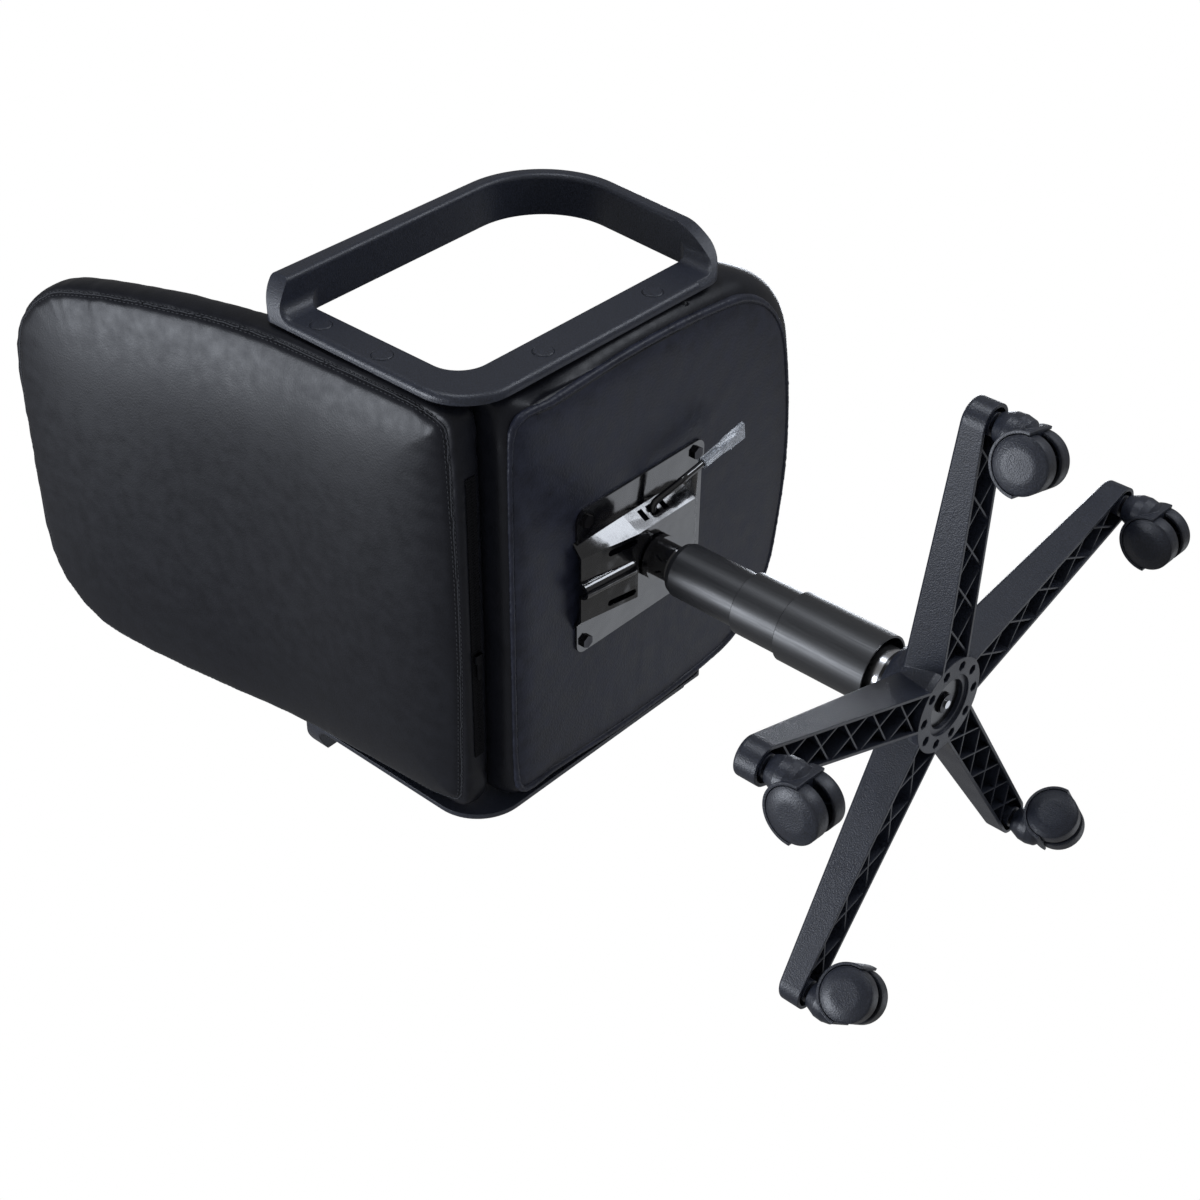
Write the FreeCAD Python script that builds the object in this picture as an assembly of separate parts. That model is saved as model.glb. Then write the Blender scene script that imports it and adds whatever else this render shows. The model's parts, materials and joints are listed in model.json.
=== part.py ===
import FreeCAD, Part
import math
import os

# Executive office chair: five-star base on twin-wheel casters, gas lift under telescopic sleeves,
# stamped seat plate, upholstered seat and back joined by two moulded loop arms.
# Millimetres. +Z up, front towards -Y, +X the sitter's left, origin on the floor on the lift's axis.

V = FreeCAD.Vector
UP = V(0, 0, 1)
ALONG_X = V(1, 0, 0)
ALONG_Y = V(0, 1, 0)

# Clearances
RUN_FIT = 0.05            # radial, shaft turning or sliding in its bore
SEAT_FIT = 0.02           # radial, piece pressed or tapered into its seat
BOLT_FIT = 0.25           # radial, bolt in a drilled hole
PAD_GAP = 0.3             # soft or bolted pieces that lie against each other
SLEEVE_GAP = 0.5          # radial, between telescoping sleeves
STACK_GAP = 0.1           # axial, between stacked washers that turn on each other
WHEEL_GAP = 0.9           # wheel to hood
OVERCUT = 1.0             # cutting solids run past the faces that they cut
TOUCH = 0.01              # faces and edges nearer than this are taken as one

# Casters
WHEEL_R = 25.0
WHEEL_HALF = 20.5         # from the caster's middle to the crown of a wheel cap
CAP_RISE = 3.0            # rise of the wheel cap
CAP_FLAT_R = 14.0         # flat middle of the wheel cap
RIM_T = 2.6
WHEEL_DISC_T = 2.6
BORE_FLOOR = 1.0          # wheel cap left over the axle's end
WHEEL_HUB_R = 6.0
WHEEL_RIBS = 6
WHEEL_RIB_T = 1.2
AXLE_R = 3.0
TRAIL = 17.5              # axle behind the stem's axis
WEB_HALF = 3.6            # half thickness of the hood's middle web
FENDER_T = 2.6
FENDER_HALF = 17.5
NECK_R = 17.5
NECK_TOP_R = 12.5
NECK_ROWS = ((0.62, 0.0), (0.90, 0.15), (1.0, 0.40), (0.97, 0.65))  # radius and height as shares
HOOD_FOOT_UP = 3.0        # neck's foot above the axle
STEM_R = 5.5
STEM_SEAT = 10.5          # depth of the stem in the hood
STEM_IN_LEG = 20.0
STEM_COLLAR_R = 8.0
HOOD_DROP = 4.0           # leg underside to hood top
CASTER_YAWS = (15.0, 3.0, 236.0, 221.0, 5.0)

# Star base
LEG_COUNT = 5
FIRST_LEG = 182.6         # direction of the first leg, degrees
STEM_CIRCLE_R = 283.0
LEG_UNDER_Z = 63.5
LEG_ROOT_H = 40.5
LEG_TIP_H = 22.5
LEG_ROOT_HALF = 20.5
LEG_TIP_HALF = 18.0
LEG_WALL = 3.2
LEG_ROOF = 3.6
LEG_EDGE_R = 4.0
LATTICE_CROSSES = 5
LATTICE_T = 1.8
LATTICE_RECESS = 2.0      # lattice edge above the leg's underside
STEM_BOSS_R = 10.5
HUB_FOOT_R = 47.0
HUB_TOP_R = 34.0
HUB_H = 54.5
# Hub's flank: radius over its top's, and height as a share
HUB_ROWS = ((HUB_FOOT_R - HUB_TOP_R, 0.12), (5.0, 0.72), (2.0, 0.92))
HUB_POCKETS = 10
HUB_POCKET_CIRCLE_R = 38.5
HUB_POCKET_R = 5.2
HUB_POCKET_DEPTH = 20.0
HUB_MOUTH_R = 30.0
HUB_MOUTH_DEPTH = 2.5

# Gas lift, shown fully raised
LIFT_STROKE = 100.0
COLUMN_R = 25.0
COLUMN_WALL = 1.8
COLUMN_TAPER = 0.7        # radius lost over the length held in the hub
COLUMN_FOOT_UP = 6.5      # column foot above the hub's underside
COLUMN_L = 188.0
COLUMN_FLOOR = 3.0
BUSH_L = 60.0
TUBE_R = 14.0
TUBE_WALL = 1.5
TUBE_L = 210.0
TUBE_CAP = 14.0
TUBE_STAND = 1.5          # tube's top above the pan's floor
TUBE_TAPER = 0.6          # radius lost over the length held in the socket
TUBE_GUIDE_L = 20.0
ROD_R = 5.0
ROD_PIN_R = 4.0
PISTON_H = 12.0
PISTON_UP = 2.0           # piston above the tube's guide at full height
PISTON_GAP = 0.2
WASHER_R = 16.0
WASHER_T = 2.0
BEARING_T = 4.0
BEARING_INSET = 1.0       # ball ring inside its washers' edges
CLIP_T = 1.5
CLIP_R = 9.0
CLIP_MOUTH_HALF = 3.2
CLIP_WASHER_R = 10.0
ROD_END = 1.5             # pin past its clip
BUTTON_R = 4.0
BUTTON_IN_CAP = 9.8
BUTTON_STAND = 6.2        # button above the tube's top

# Telescopic sleeves
SLEEVE_T = 2.0
SLEEVE_LIP = 1.2          # lips that catch each other at full height
SLEEVE_LIP_H = 2.5
SLEEVE_CHAMFER = 1.0
UPPER_SLEEVE_L = 102.0
MIDDLE_SLEEVE_L = 99.0
LOWER_SLEEVE_L = 99.0
UPPER_SLEEVE_DROP = 28.0  # sleeve top below the seat plate's pan
MIDDLE_SLEEVE_STEP = 82.0 # each sleeve's foot above the next one's
LOWER_SLEEVE_STEP = 53.0
SLEEVE_SHOULDER_R = 8.0

# Seat plate
PAN_Z = 400.0             # underside of the pan at the socket
PLATE_T = 2.5
PAN_DEPTH = 20.0
PAN_REAR_DEPTH = 8.0
PAN_TOP_HALF = 50.0
PAN_FLOOR_HALF = 37.0
PAN_REAR_Y = 93.0
PAN_DEEP_Y = 25.0
PAN_FRONT_DEEP_Y = -58.0
PAN_FRONT_Y = -86.0
EAR_HALF = 82.0
EAR_REAR_Y = 90.0
EAR_FRONT_Y = -94.0
EAR_R = 11.0
EAR_INNER_R = 1.0
EAR_LAP = 7.5             # ear inside the pan's top edge
FRONT_STRIP_W = 5.0       # flange in front of the pan
PLATE_BOLT_X = 70.0
PLATE_BOLT_REAR_Y = 78.0
PLATE_BOLT_FRONT_Y = -81.0
PLATE_BOLT_R = 4.0
BOLT_HEAD_H = 4.0
BOLT_HEAD_R = 7.0
RIB_R = 9.0
RIB_FRONT_Y = 32.0
SLOT_X = 29.0
SLOT_REAR_Y = 61.0
SLOT_FRONT_Y = 27.0
SLOT_HALF = 3.5
SLOT_END_R = SLOT_HALF - 0.05
SOCKET_H = 30.0
SOCKET_R = 18.5
SOCKET_COLLAR_R = 23.0
SOCKET_COLLAR_H = 6.0
SOCKET_CHAMFER = 1.0
SOCKET_CHAMFER_H = 2.0

# Lift lever: from the release button, through a slot in the pan's wall, then forwards
LEVER_R = 3.5
LEVER_LIFT = 0.3          # rest gap over the button
LEVER_PIVOT = (-43.5, -8.0)  # where the rod rocks in the pan's wall
LEVER_OVERRUN = 7.5       # straight run past the pivot, up to the bend
LEVER_ELBOW = (-72.0, -34.0)
LEVER_NECK = (-80.0, -86.0)
LEVER_DROP = 15.0         # outer run below the inner run
LEVER_BEND_R = 12.0
LEVER_SLOT_HALF = 5.5
LEVER_SLOT_PITCH = 14.0
SIDE_SLOT_HALF = 3.3      # blank slots beside the lever's
GRIP_L = 62.0
GRIP_SLEEVE_R = 5.5
GRIP_HALF = 10.0
GRIP_TIP_T = 5.0
GRIP_BEVEL = 0.3          # corner bevel as a share of the thickness
GRIP_FLARE = (0.4, 0.62)  # where the sleeve starts to widen and has done so, as shares of its length
GRIP_SHOULDER = (8.0, 9.35)  # half width and thickness there
GRIP_SEAT = 24.0          # rod inside the grip

# Seat
BODY_HALF_W = 233.7       # half width of seat and back at their widest
SEAT_REAR_Y = 174.5
SEAT_FRONT_Y = -262.0
SEAT_HALF_OUTLINE = ((0.80, 0), (0.925, 0.033), (0.962, 0.12), (1.0, 0.42), (0.962, 0.775), (0.835, 0.893),
                     (0.54, 0.970))  # rear to front, as shares of the half width and the depth
SEAT_COVER_T = 4.5
SEAT_COVER_ROWS = ((0.0, 3.0), (0.45, 10.0), (1.0, 43.0))  # share of the drop, and inset from the seam
SEAT_BOARD_T = 12.0
SEAT_BOARD_INSET = 36.0
SEAT_BOARD_REAR_INSET = 16.0
SEAT_SEAM_INSET = 18.0    # underside seam inside the full outline, at the sides
SEAT_SEAM_FRONT = 25.0
SEAT_SEAM_REAR = 7.0
SEAT_BOXING_H = 60.0      # board underside to the upper seam
SEAT_CROWN_H = 28.0       # top panel's rise over the upper seam
SEAT_CROWN_INSET = 110.0  # width over which it rises
# Boxing from the underside up: height as a share, and share of the seam's inset
SEAT_BOXING_ROWS = ((0.0, 1.0), (0.10, 0.45), (0.28, 0.1), (0.5, 0.0), (0.8, 0.033))
SEAT_CROWN_STEPS = (12, 27, 41, 54, 67, 79, 90)  # degrees round the crown's quarter turn
SEAT_SEAM_DIP = 2.0       # boxing drawn in at the upper seam
BATTEN_W = 24.0
BATTEN_COVER = 18.0       # padding outside a batten
BATTEN_H = 30.0
BATTEN_FRONT_Y = -80.0
BATTEN_REAR_Y = 140.0

# Back
BACK_FOOT_Y = 212.5       # rear seam at the back's foot
BACK_FOOT_UP = 32.0       # back's foot above the seat plate's flange
BACK_H = 546.0
BACK_EDGE = 36.0          # boxing between the front and rear seams
BACK_LOW_LEAN = 3.0
BACK_TOP_LEAN = 13.0
BACK_BEND_UP = 183.0      # start of the bend above the foot
BACK_BEND_H = 120.0
BACK_BOXING_BULGE = 4.0    # boxing outside its seams
BACK_FRONT_CROWN = 24.0
BACK_CROWN_START = 0.1    # share of the height at which the front crown starts
BACK_END_CROWNS = (0.25, 0.05)  # least share of the rear and front crowns, at the ends
BACK_REAR_CROWN = 11.0
BACK_WIDEST = (0.33, 0.993)  # height and width as shares of their full sizes
BACK_TAPER = (0.457, 2.6)    # width lost over the full height, and the power by which it goes
BACK_TOP_CORNER = (95.0, 85.0)   # rounding across and up
BACK_FOOT_CORNER = (46.0, 40.0)
BACK_CORNER_TURNS = (90, 75, 60, 45, 30, 15, 0)  # sections round a corner, degrees
BACK_MIDDLE_ROWS = 10        # steps from corner to corner
BACK_END_ROUND = (27.0, 0.3)  # length over which the boxing thins at the ends, and share it loses
BACK_BOARD_T = 12.0
BACK_BOARD_TOP = 45.0     # board's top edge below the back's
BACK_BOARD_TOP_HALF = 167.0
BACK_BOARD_RADII = (20.0, 60.0, 40.0)  # corners at the foot, the bend and the top
BACK_BOARD_MARGIN = 30.0
BACK_BATTEN_T = 18.0
BACK_BATTEN_LOW = 75.0
BACK_BATTEN_HIGH = 205.0

# Zip along the back's lower edge
ZIP_HALF_L = 150.0
ZIP_HALF_W = 6.0
ZIP_T = 1.2
ZIP_AT_X = 40.0
ZIP_SLIDER_L = 9.0
ZIP_SLIDER_H = 3.5
ZIP_PULL_L = 24.0
ZIP_PULL_HALF = 3.0
ZIP_PULL_R = 2.5
ZIP_PULL_ROOT_R = 1.0

# Arms
RAIL_T = 9.0
ARM_BAND_W = 43.0
ARM_BAND_T = 15.0
ARM_REAR_Y = 214.0
ARM_FRONT_Y = -158.0
ARM_POST_LEAN = 20.0      # post's foot behind its top
ARM_TOP_Z = 696.0
ARM_FOOT_Z = 437.0
ARM_BACK_RAIL_W = 35.0
ARM_SEAT_RAIL_H = 42.0
ARM_PAD_DIP = 6.0         # pad underside lower at the rear than in front
ARM_ELBOW_R = 95.0
ARM_HEEL_R = 54.0
ARM_TOE_R = 30.0
ARM_LOOP_TOE_R = 9.0      # loop's lower corners, front and rear
ARM_LOOP_HEEL_R = 32.0
ARM_REAR_TOP_R = 10.0
ARM_PAD_FLARE = 16.0      # length over which the pad narrows into the back rail
ARM_POST_FLARE = 60.0     # the same for the front post and the seat rail
FLARE_BOW = (0.62, 0.4)   # middle of a flare's curve, as shares of its depth and length
ARM_RAIL_EDGE_R = 6.0
ARM_BLEND_R = 14.0
ARM_EDGE_R = 5.0
ARM_BOLT_R = 3.0
ARM_BOLT_HEAD_R = 6.0
ARM_BOLT_HEAD_H = 4.0
ARM_CAP_R = 10.0
ARM_CAP_T = 3.0
ARM_CAP_PROUD = 1.0
ARM_SEAT_BOLT_YS = (96.0, -52.0)
ARM_BACK_BOLT_UPS = (103.0, 182.0)
T_NUT_R = 8.0
T_NUT_T = 1.6
T_NUT_BARREL_WALL = 1.4
T_NUT_BARREL_L = 9.0

# Heights and places that follow
HUB_TOP_Z = LEG_UNDER_Z + HUB_H
COLUMN_FOOT_Z = LEG_UNDER_Z + COLUMN_FOOT_UP
COLUMN_TOP_Z = COLUMN_FOOT_Z + COLUMN_L
PAN_FLOOR_Z = PAN_Z + PLATE_T
FLANGE_Z = PAN_FLOOR_Z + PAN_DEPTH
SEAT_BASE_Z = FLANGE_Z + PLATE_T
TUBE_TOP_Z = PAN_FLOOR_Z + TUBE_STAND
TUBE_FOOT_Z = TUBE_TOP_Z - TUBE_L
SOCKET_FOOT_Z = TUBE_TOP_Z - SOCKET_H
BUTTON_TOP_Z = TUBE_TOP_Z + BUTTON_STAND
LEVER_Z = BUTTON_TOP_Z + LEVER_LIFT + LEVER_R
UPPER_SLEEVE_R = COLUMN_R + SLEEVE_GAP + SLEEVE_T
MIDDLE_SLEEVE_R = UPPER_SLEEVE_R + SLEEVE_LIP + SLEEVE_GAP + SLEEVE_T
LOWER_SLEEVE_R = MIDDLE_SLEEVE_R + SLEEVE_LIP + SLEEVE_GAP + SLEEVE_T
UPPER_SLEEVE_FOOT_Z = PAN_Z - UPPER_SLEEVE_DROP - UPPER_SLEEVE_L
MIDDLE_SLEEVE_FOOT_Z = UPPER_SLEEVE_FOOT_Z - MIDDLE_SLEEVE_STEP
LOWER_SLEEVE_FOOT_Z = MIDDLE_SLEEVE_FOOT_Z - LOWER_SLEEVE_STEP
SEAT_BOARD_Z = SEAT_BASE_Z + SEAT_COVER_T
SEAT_SEAM_Z = SEAT_BOARD_Z + SEAT_BOXING_H
SEAT_BATTEN_Z = SEAT_BOARD_Z + SEAT_BOARD_T
ARM_SEAT_BOLT_Z = ARM_FOOT_Z + ARM_SEAT_RAIL_H / 2
ARM_BACK_BOLT_Y = ARM_REAR_Y - ARM_BACK_RAIL_W / 2
BACK_FOOT_Z = FLANGE_Z + BACK_FOOT_UP
BATTEN_X = BODY_HALF_W - BATTEN_COVER
RAIL_X = BODY_HALF_W + PAD_GAP
RAIL_FACE_X = RAIL_X + RAIL_T
ARM_OUT_X = RAIL_X + ARM_BAND_W
HOOD_TOP_Z = LEG_UNDER_Z - HOOD_DROP
FENDER_R = WHEEL_R + WHEEL_GAP + FENDER_T


def polar(radius, degrees, z=0.0):
    turn = math.radians(degrees)
    return V(radius * math.cos(turn), radius * math.sin(turn), z)


def line(start, end):
    return Part.LineSegment(start, end).toShape()


def arc(start, middle, end):
    return Part.Arc(start, middle, end).toShape()


def solid_of(wire, direction):
    return Part.Face(wire).extrude(direction)


def polygon(points):
    return Part.makePolygon(points + [points[0]])


def box(x0, x1, y0, y1, z0, z1):
    return Part.makeBox(x1 - x0, y1 - y0, z1 - z0, V(x0, y0, z0))


def cyl(radius, z0, z1, x=0.0, y=0.0):
    return Part.makeCylinder(radius, z1 - z0, V(x, y, z0))


def cyl_x(radius, x0, x1, y, z):
    return Part.makeCylinder(radius, x1 - x0, V(x0, y, z), ALONG_X)


def cyl_y(radius, y0, y1, x, z):
    return Part.makeCylinder(radius, y1 - y0, V(x, y0, z), ALONG_Y)


def ring(outer, inner, z0, z1):
    return cyl(outer, z0, z1).cut(cyl(inner, z0 - OVERCUT, z1 + OVERCUT))


def turned(points):
    """Solid of revolution about Z from (radius, height) corners."""
    face = Part.Face(polygon([V(r, 0, z) for r, z in points]))
    return face.revolve(V(0, 0, 0), UP, 360)


def rounded_loop(corners, place):
    """Closed wire through (a, b, radius) corners, each with a tangent arc, set in space by place."""
    count = len(corners)
    flat = [V(a, b, 0) for a, b, r in corners]
    arcs = []
    for i, (a, b, radius) in enumerate(corners):
        before = (flat[i - 1] - flat[i]).normalize()
        after = (flat[(i + 1) % count] - flat[i]).normalize()
        half = before.getAngle(after) / 2
        inward = (before + after).normalize()
        reach = radius / math.tan(half)
        middle = flat[i] + inward * (radius / math.sin(half) - radius)
        arcs.append((flat[i] + before * reach, middle, flat[i] + after * reach, radius))
    edges = []
    for i, (start, middle, end, radius) in enumerate(arcs):
        if radius > 0:
            edges.append(arc(*[place(p.x, p.y) for p in (start, middle, end)]))
        following = arcs[(i + 1) % count][0]
        if (following - end).Length > 1e-6:
            edges.append(line(place(end.x, end.y), place(following.x, following.y)))
    return Part.Wire(Part.__sortEdges__(edges))


def side_view(x):
    """Places (y, z) pairs on the plane at x."""
    return lambda a, b: V(x, a, b)


def plan_view(z):
    """Places (x, y) pairs on the plane at z."""
    return lambda a, b: V(a, b, z)


def mirrored(shape):
    return shape.mirror(V(0, 0, 0), ALONG_X)


def save(name, shape):
    shape.exportStep(f"parts/{name}.step")


# Star base

def leg_top(u):
    """Height of a leg's top at distance u from the hub's axis."""
    tip = STEM_CIRCLE_R + LEG_TIP_HALF
    share = (u - HUB_FOOT_R) / (tip - HUB_FOOT_R)
    return LEG_UNDER_Z + LEG_ROOT_H + (LEG_TIP_H - LEG_ROOT_H) * share


def leg_block(start_u, inset, roof, under):
    """Tapering leg along +X with a round tip, drawn in by inset and lowered by roof."""
    root = LEG_ROOT_HALF - inset
    tip = LEG_TIP_HALF - inset
    end_u = STEM_CIRCLE_R + tip
    low = LEG_UNDER_Z - under
    plan = Part.Wire([
        line(V(start_u, -root, low), V(STEM_CIRCLE_R, -tip, low)),
        arc(V(STEM_CIRCLE_R, -tip, low), V(end_u, 0, low), V(STEM_CIRCLE_R, tip, low)),
        line(V(STEM_CIRCLE_R, tip, low), V(start_u, root, low)),
        line(V(start_u, root, low), V(start_u, -root, low)),
    ])
    above = HUB_H + under
    near = start_u - OVERCUT
    far = end_u + OVERCUT
    side = -root - OVERCUT
    profile = polygon([
        V(near, side, low),
        V(far, side, low),
        V(far, side, leg_top(far) - roof),
        V(near, side, leg_top(near) - roof),
    ])
    sides = solid_of(profile, V(0, -2 * side, 0))
    return solid_of(plan, V(0, 0, above)).common(sides)


def leg_lattice(channel):
    """Crossed ribs that fill the channel under a leg."""
    start = HUB_FOOT_R
    pitch = (STEM_CIRCLE_R - STEM_BOSS_R - start) / LATTICE_CROSSES
    width = LEG_ROOT_HALF + LEG_TIP_HALF
    lean = math.degrees(math.atan2(width, pitch))
    length = math.hypot(pitch, width)
    low = LEG_UNDER_Z + LATTICE_RECESS
    bars = []
    for i in range(LATTICE_CROSSES):
        for turn in (lean, -lean):
            bar = box(-length / 2, length / 2, -LATTICE_T / 2, LATTICE_T / 2, low, low + HUB_H)
            bar.rotate(V(0, 0, 0), UP, turn)
            bar.translate(V(start + (i + 0.5) * pitch, 0, 0))
            bars.append(bar)
    return bars[0].multiFuse(bars[1:]).common(channel)


def base_leg():
    block = leg_block(0, 0, 0, 0)
    top_edges = [e for e in block.Edges if e.CenterOfMass.z > LEG_UNDER_Z + LEG_TIP_H - OVERCUT
                 and e.BoundBox.XLength > LEG_TIP_HALF / 2]
    block = block.makeFillet(LEG_EDGE_R, top_edges)
    channel = leg_block(HUB_FOOT_R - LEG_WALL, LEG_WALL, LEG_ROOF, OVERCUT)
    channel = channel.cut(cyl(STEM_BOSS_R, 0, HUB_TOP_Z, STEM_CIRCLE_R))
    leg = block.cut(channel).fuse(leg_lattice(channel))
    bore = cyl(STEM_R + RUN_FIT, LEG_UNDER_Z - OVERCUT, LEG_UNDER_Z + STEM_IN_LEG, STEM_CIRCLE_R)
    return leg.cut(bore)


def leg_angle(i):
    return FIRST_LEG + i * 360 / LEG_COUNT


def column_radius(z):
    """Outer radius of the gas lift column, tapered where the hub holds it."""
    share = min(1.0, (z - COLUMN_FOOT_Z) / (HUB_TOP_Z - COLUMN_FOOT_Z))
    return COLUMN_R - COLUMN_TAPER * (1 - share)


def star_base():
    flank = [(HUB_TOP_R + more, LEG_UNDER_Z + HUB_H * up) for more, up in HUB_ROWS]
    hub = turned([(0, LEG_UNDER_Z), (HUB_FOOT_R, LEG_UNDER_Z), *flank, (HUB_TOP_R, HUB_TOP_Z),
                  (0, HUB_TOP_Z)])
    legs = []
    for i in range(LEG_COUNT):
        leg = base_leg()
        leg.rotate(V(0, 0, 0), UP, leg_angle(i))
        legs.append(leg)
    base = hub.multiFuse(legs)
    low = LEG_UNDER_Z - OVERCUT
    high = HUB_TOP_Z + OVERCUT
    bore = column_radius(HUB_TOP_Z) + SEAT_FIT
    foot = column_radius(low) + SEAT_FIT
    cuts = [turned([(0, low), (foot, low), (bore, HUB_TOP_Z), (bore, high), (0, high)])]
    cuts.append(cyl(HUB_MOUTH_R, low, LEG_UNDER_Z + HUB_MOUTH_DEPTH))
    for i in range(HUB_POCKETS):
        at = 360 * (i + 0.5) / HUB_POCKETS + FIRST_LEG
        sides = [polar(HUB_POCKET_CIRCLE_R, at, low) + polar(HUB_POCKET_R, at + 60 * k)
                 for k in range(6)]
        cuts.append(solid_of(polygon(sides), V(0, 0, HUB_POCKET_DEPTH + OVERCUT)))
    return base.cut(cuts[0].multiFuse(cuts[1:])).removeSplitter()


# Casters, made with the stem on the Z axis and the wheels trailing along +X

def caster_wheel():
    """Wheel on the +Y side: raised cap, open ribbed inner face, blind bore for the axle."""
    inner = WEB_HALF + WHEEL_GAP
    crown = WHEEL_HALF
    edge = crown - CAP_RISE
    floor = edge - BORE_FLOOR
    disc = edge - WHEEL_DISC_T
    bore = AXLE_R + RUN_FIT
    rim = WHEEL_R - RIM_T
    corners = [V(0, floor, 0), V(bore, floor, 0), V(bore, inner, 0), V(WHEEL_HUB_R, inner, 0),
               V(WHEEL_HUB_R, disc, 0), V(rim, disc, 0), V(rim, inner, 0), V(WHEEL_R, inner, 0),
               V(WHEEL_R, edge, 0), V(CAP_FLAT_R, crown, 0), V(0, crown, 0)]
    wheel = Part.Face(polygon(corners)).revolve(V(0, 0, 0), ALONG_Y, 360)
    ribs = []
    for i in range(WHEEL_RIBS):
        rib = box(WHEEL_HUB_R - OVERCUT, rim + OVERCUT, inner + WHEEL_GAP, disc + OVERCUT,
                  -WHEEL_RIB_T / 2, WHEEL_RIB_T / 2)
        rib.rotate(V(0, 0, 0), ALONG_Y, i * 360 / WHEEL_RIBS)
        ribs.append(rib)
    wheel = wheel.multiFuse(ribs)
    wheel.translate(V(TRAIL, 0, WHEEL_R))
    return wheel


def caster_hood():
    """Neck over the stem, middle web and a fender over the trailing half of the wheels."""
    low = WHEEL_R + HOOD_FOOT_UP
    tall = HOOD_TOP_Z - low
    bulge = [(NECK_R * wide, low + tall * up) for wide, up in NECK_ROWS]
    neck = turned([(0, low), *bulge, (NECK_TOP_R, HOOD_TOP_Z), (0, HOOD_TOP_Z)])
    fender = cyl_y(FENDER_R, -FENDER_HALF, FENDER_HALF, TRAIL, WHEEL_R)
    below = box(TRAIL - 2 * FENDER_R, TRAIL + 2 * FENDER_R, -WHEEL_R, WHEEL_R, -WHEEL_R, WHEEL_R - OVERCUT)
    boss = cyl_y(AXLE_R + RIM_T, -WEB_HALF, WEB_HALF, TRAIL, WHEEL_R)
    hood = neck.multiFuse([fender.cut(below), boss])
    room_r = WHEEL_R + WHEEL_GAP
    rooms = [cyl_y(room_r, WEB_HALF, WHEEL_R, TRAIL, WHEEL_R),
             cyl_y(room_r, -WHEEL_R, -WEB_HALF, TRAIL, WHEEL_R),
             cyl_y(AXLE_R + SEAT_FIT, -WHEEL_R, WHEEL_R, TRAIL, WHEEL_R),
             cyl(STEM_R + SEAT_FIT, HOOD_TOP_Z - STEM_SEAT, HOOD_TOP_Z + OVERCUT)]
    for room in rooms:
        hood = hood.cut(room)
    return hood


def caster_stem():
    collar_top = LEG_UNDER_Z - WHEEL_GAP
    stem = cyl(STEM_R, HOOD_TOP_Z - STEM_SEAT, LEG_UNDER_Z + STEM_IN_LEG - WHEEL_GAP)
    return stem.fuse(cyl(STEM_COLLAR_R, HOOD_TOP_Z, collar_top))


def caster_axle():
    half = WHEEL_HALF - CAP_RISE - BORE_FLOOR - PAD_GAP
    return cyl_y(AXLE_R, -half, half, TRAIL, WHEEL_R)


def save_casters():
    wheel = caster_wheel()
    pieces = {"hood": caster_hood(), "stem": caster_stem(), "axle": caster_axle(), "wheel_a": wheel,
              "wheel_b": wheel.mirror(V(0, 0, 0), ALONG_Y)}
    for i in range(LEG_COUNT):
        for name, piece in pieces.items():
            placed = piece.copy()
            placed.rotate(V(0, 0, 0), UP, CASTER_YAWS[i])
            placed.translate(polar(STEM_CIRCLE_R, leg_angle(i)))
            save(f"caster_{i + 1}_{name}", placed)


# Gas lift

def column_tube():
    bore = COLUMN_R - COLUMN_TAPER - COLUMN_WALL
    floor = COLUMN_FOOT_Z + COLUMN_FLOOR
    pin = ROD_PIN_R + RUN_FIT
    return turned([(pin, COLUMN_FOOT_Z), (column_radius(COLUMN_FOOT_Z), COLUMN_FOOT_Z),
                   (COLUMN_R, HUB_TOP_Z), (COLUMN_R, COLUMN_TOP_Z), (bore, COLUMN_TOP_Z), (bore, floor),
                   (pin, floor)])


def guide_bush():
    outer = COLUMN_R - COLUMN_TAPER - COLUMN_WALL - SEAT_FIT
    return ring(outer, TUBE_R + RUN_FIT, COLUMN_TOP_Z - BUSH_L, COLUMN_TOP_Z)


def bearing_heights():
    """Heights of the thrust stack: column floor, lower washer top, bearing top, upper washer top."""
    floor = COLUMN_FOOT_Z + COLUMN_FLOOR
    lower = floor + WASHER_T
    bearing = lower + BEARING_T
    return floor, lower, bearing, bearing + STACK_GAP + WASHER_T


def save_thrust_stack():
    floor, lower, bearing, upper = bearing_heights()
    hole = ROD_PIN_R + BOLT_FIT
    save("thrust_washer_lower", ring(WASHER_R, hole, floor, lower))
    save("thrust_bearing", ring(WASHER_R - BEARING_INSET, hole + BEARING_INSET, lower, bearing))
    save("thrust_washer_upper", ring(WASHER_R, hole, bearing + STACK_GAP, upper))
    save("bumper", ring(WASHER_R, ROD_R + BOLT_FIT, upper, TUBE_FOOT_Z - LIFT_STROKE - PAD_GAP))
    below = COLUMN_FOOT_Z - STACK_GAP
    save("clip_washer", ring(CLIP_WASHER_R, hole, below - WASHER_T, below))
    clip_top = below - WASHER_T
    clip = ring(CLIP_R, ROD_PIN_R + SEAT_FIT, clip_top - CLIP_T, clip_top)
    mouth = box(0, CLIP_R + OVERCUT, -CLIP_MOUTH_HALF, CLIP_MOUTH_HALF, clip_top - CLIP_T - OVERCUT,
                clip_top + OVERCUT)
    save("retaining_clip", clip.cut(mouth))


def piston_rod():
    """Rod that stands on the thrust bearing and carries the piston inside the tube."""
    upper = bearing_heights()[3]
    foot = COLUMN_FOOT_Z - WASHER_T - CLIP_T - STACK_GAP * 2 - ROD_END
    piston_z = TUBE_FOOT_Z + TUBE_GUIDE_L + PISTON_UP
    piston_r = TUBE_R - TUBE_WALL - PISTON_GAP
    return turned([(0, foot), (ROD_PIN_R, foot), (ROD_PIN_R, upper), (ROD_R, upper), (ROD_R, piston_z),
                   (piston_r, piston_z), (piston_r, piston_z + PISTON_H), (0, piston_z + PISTON_H)])


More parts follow.
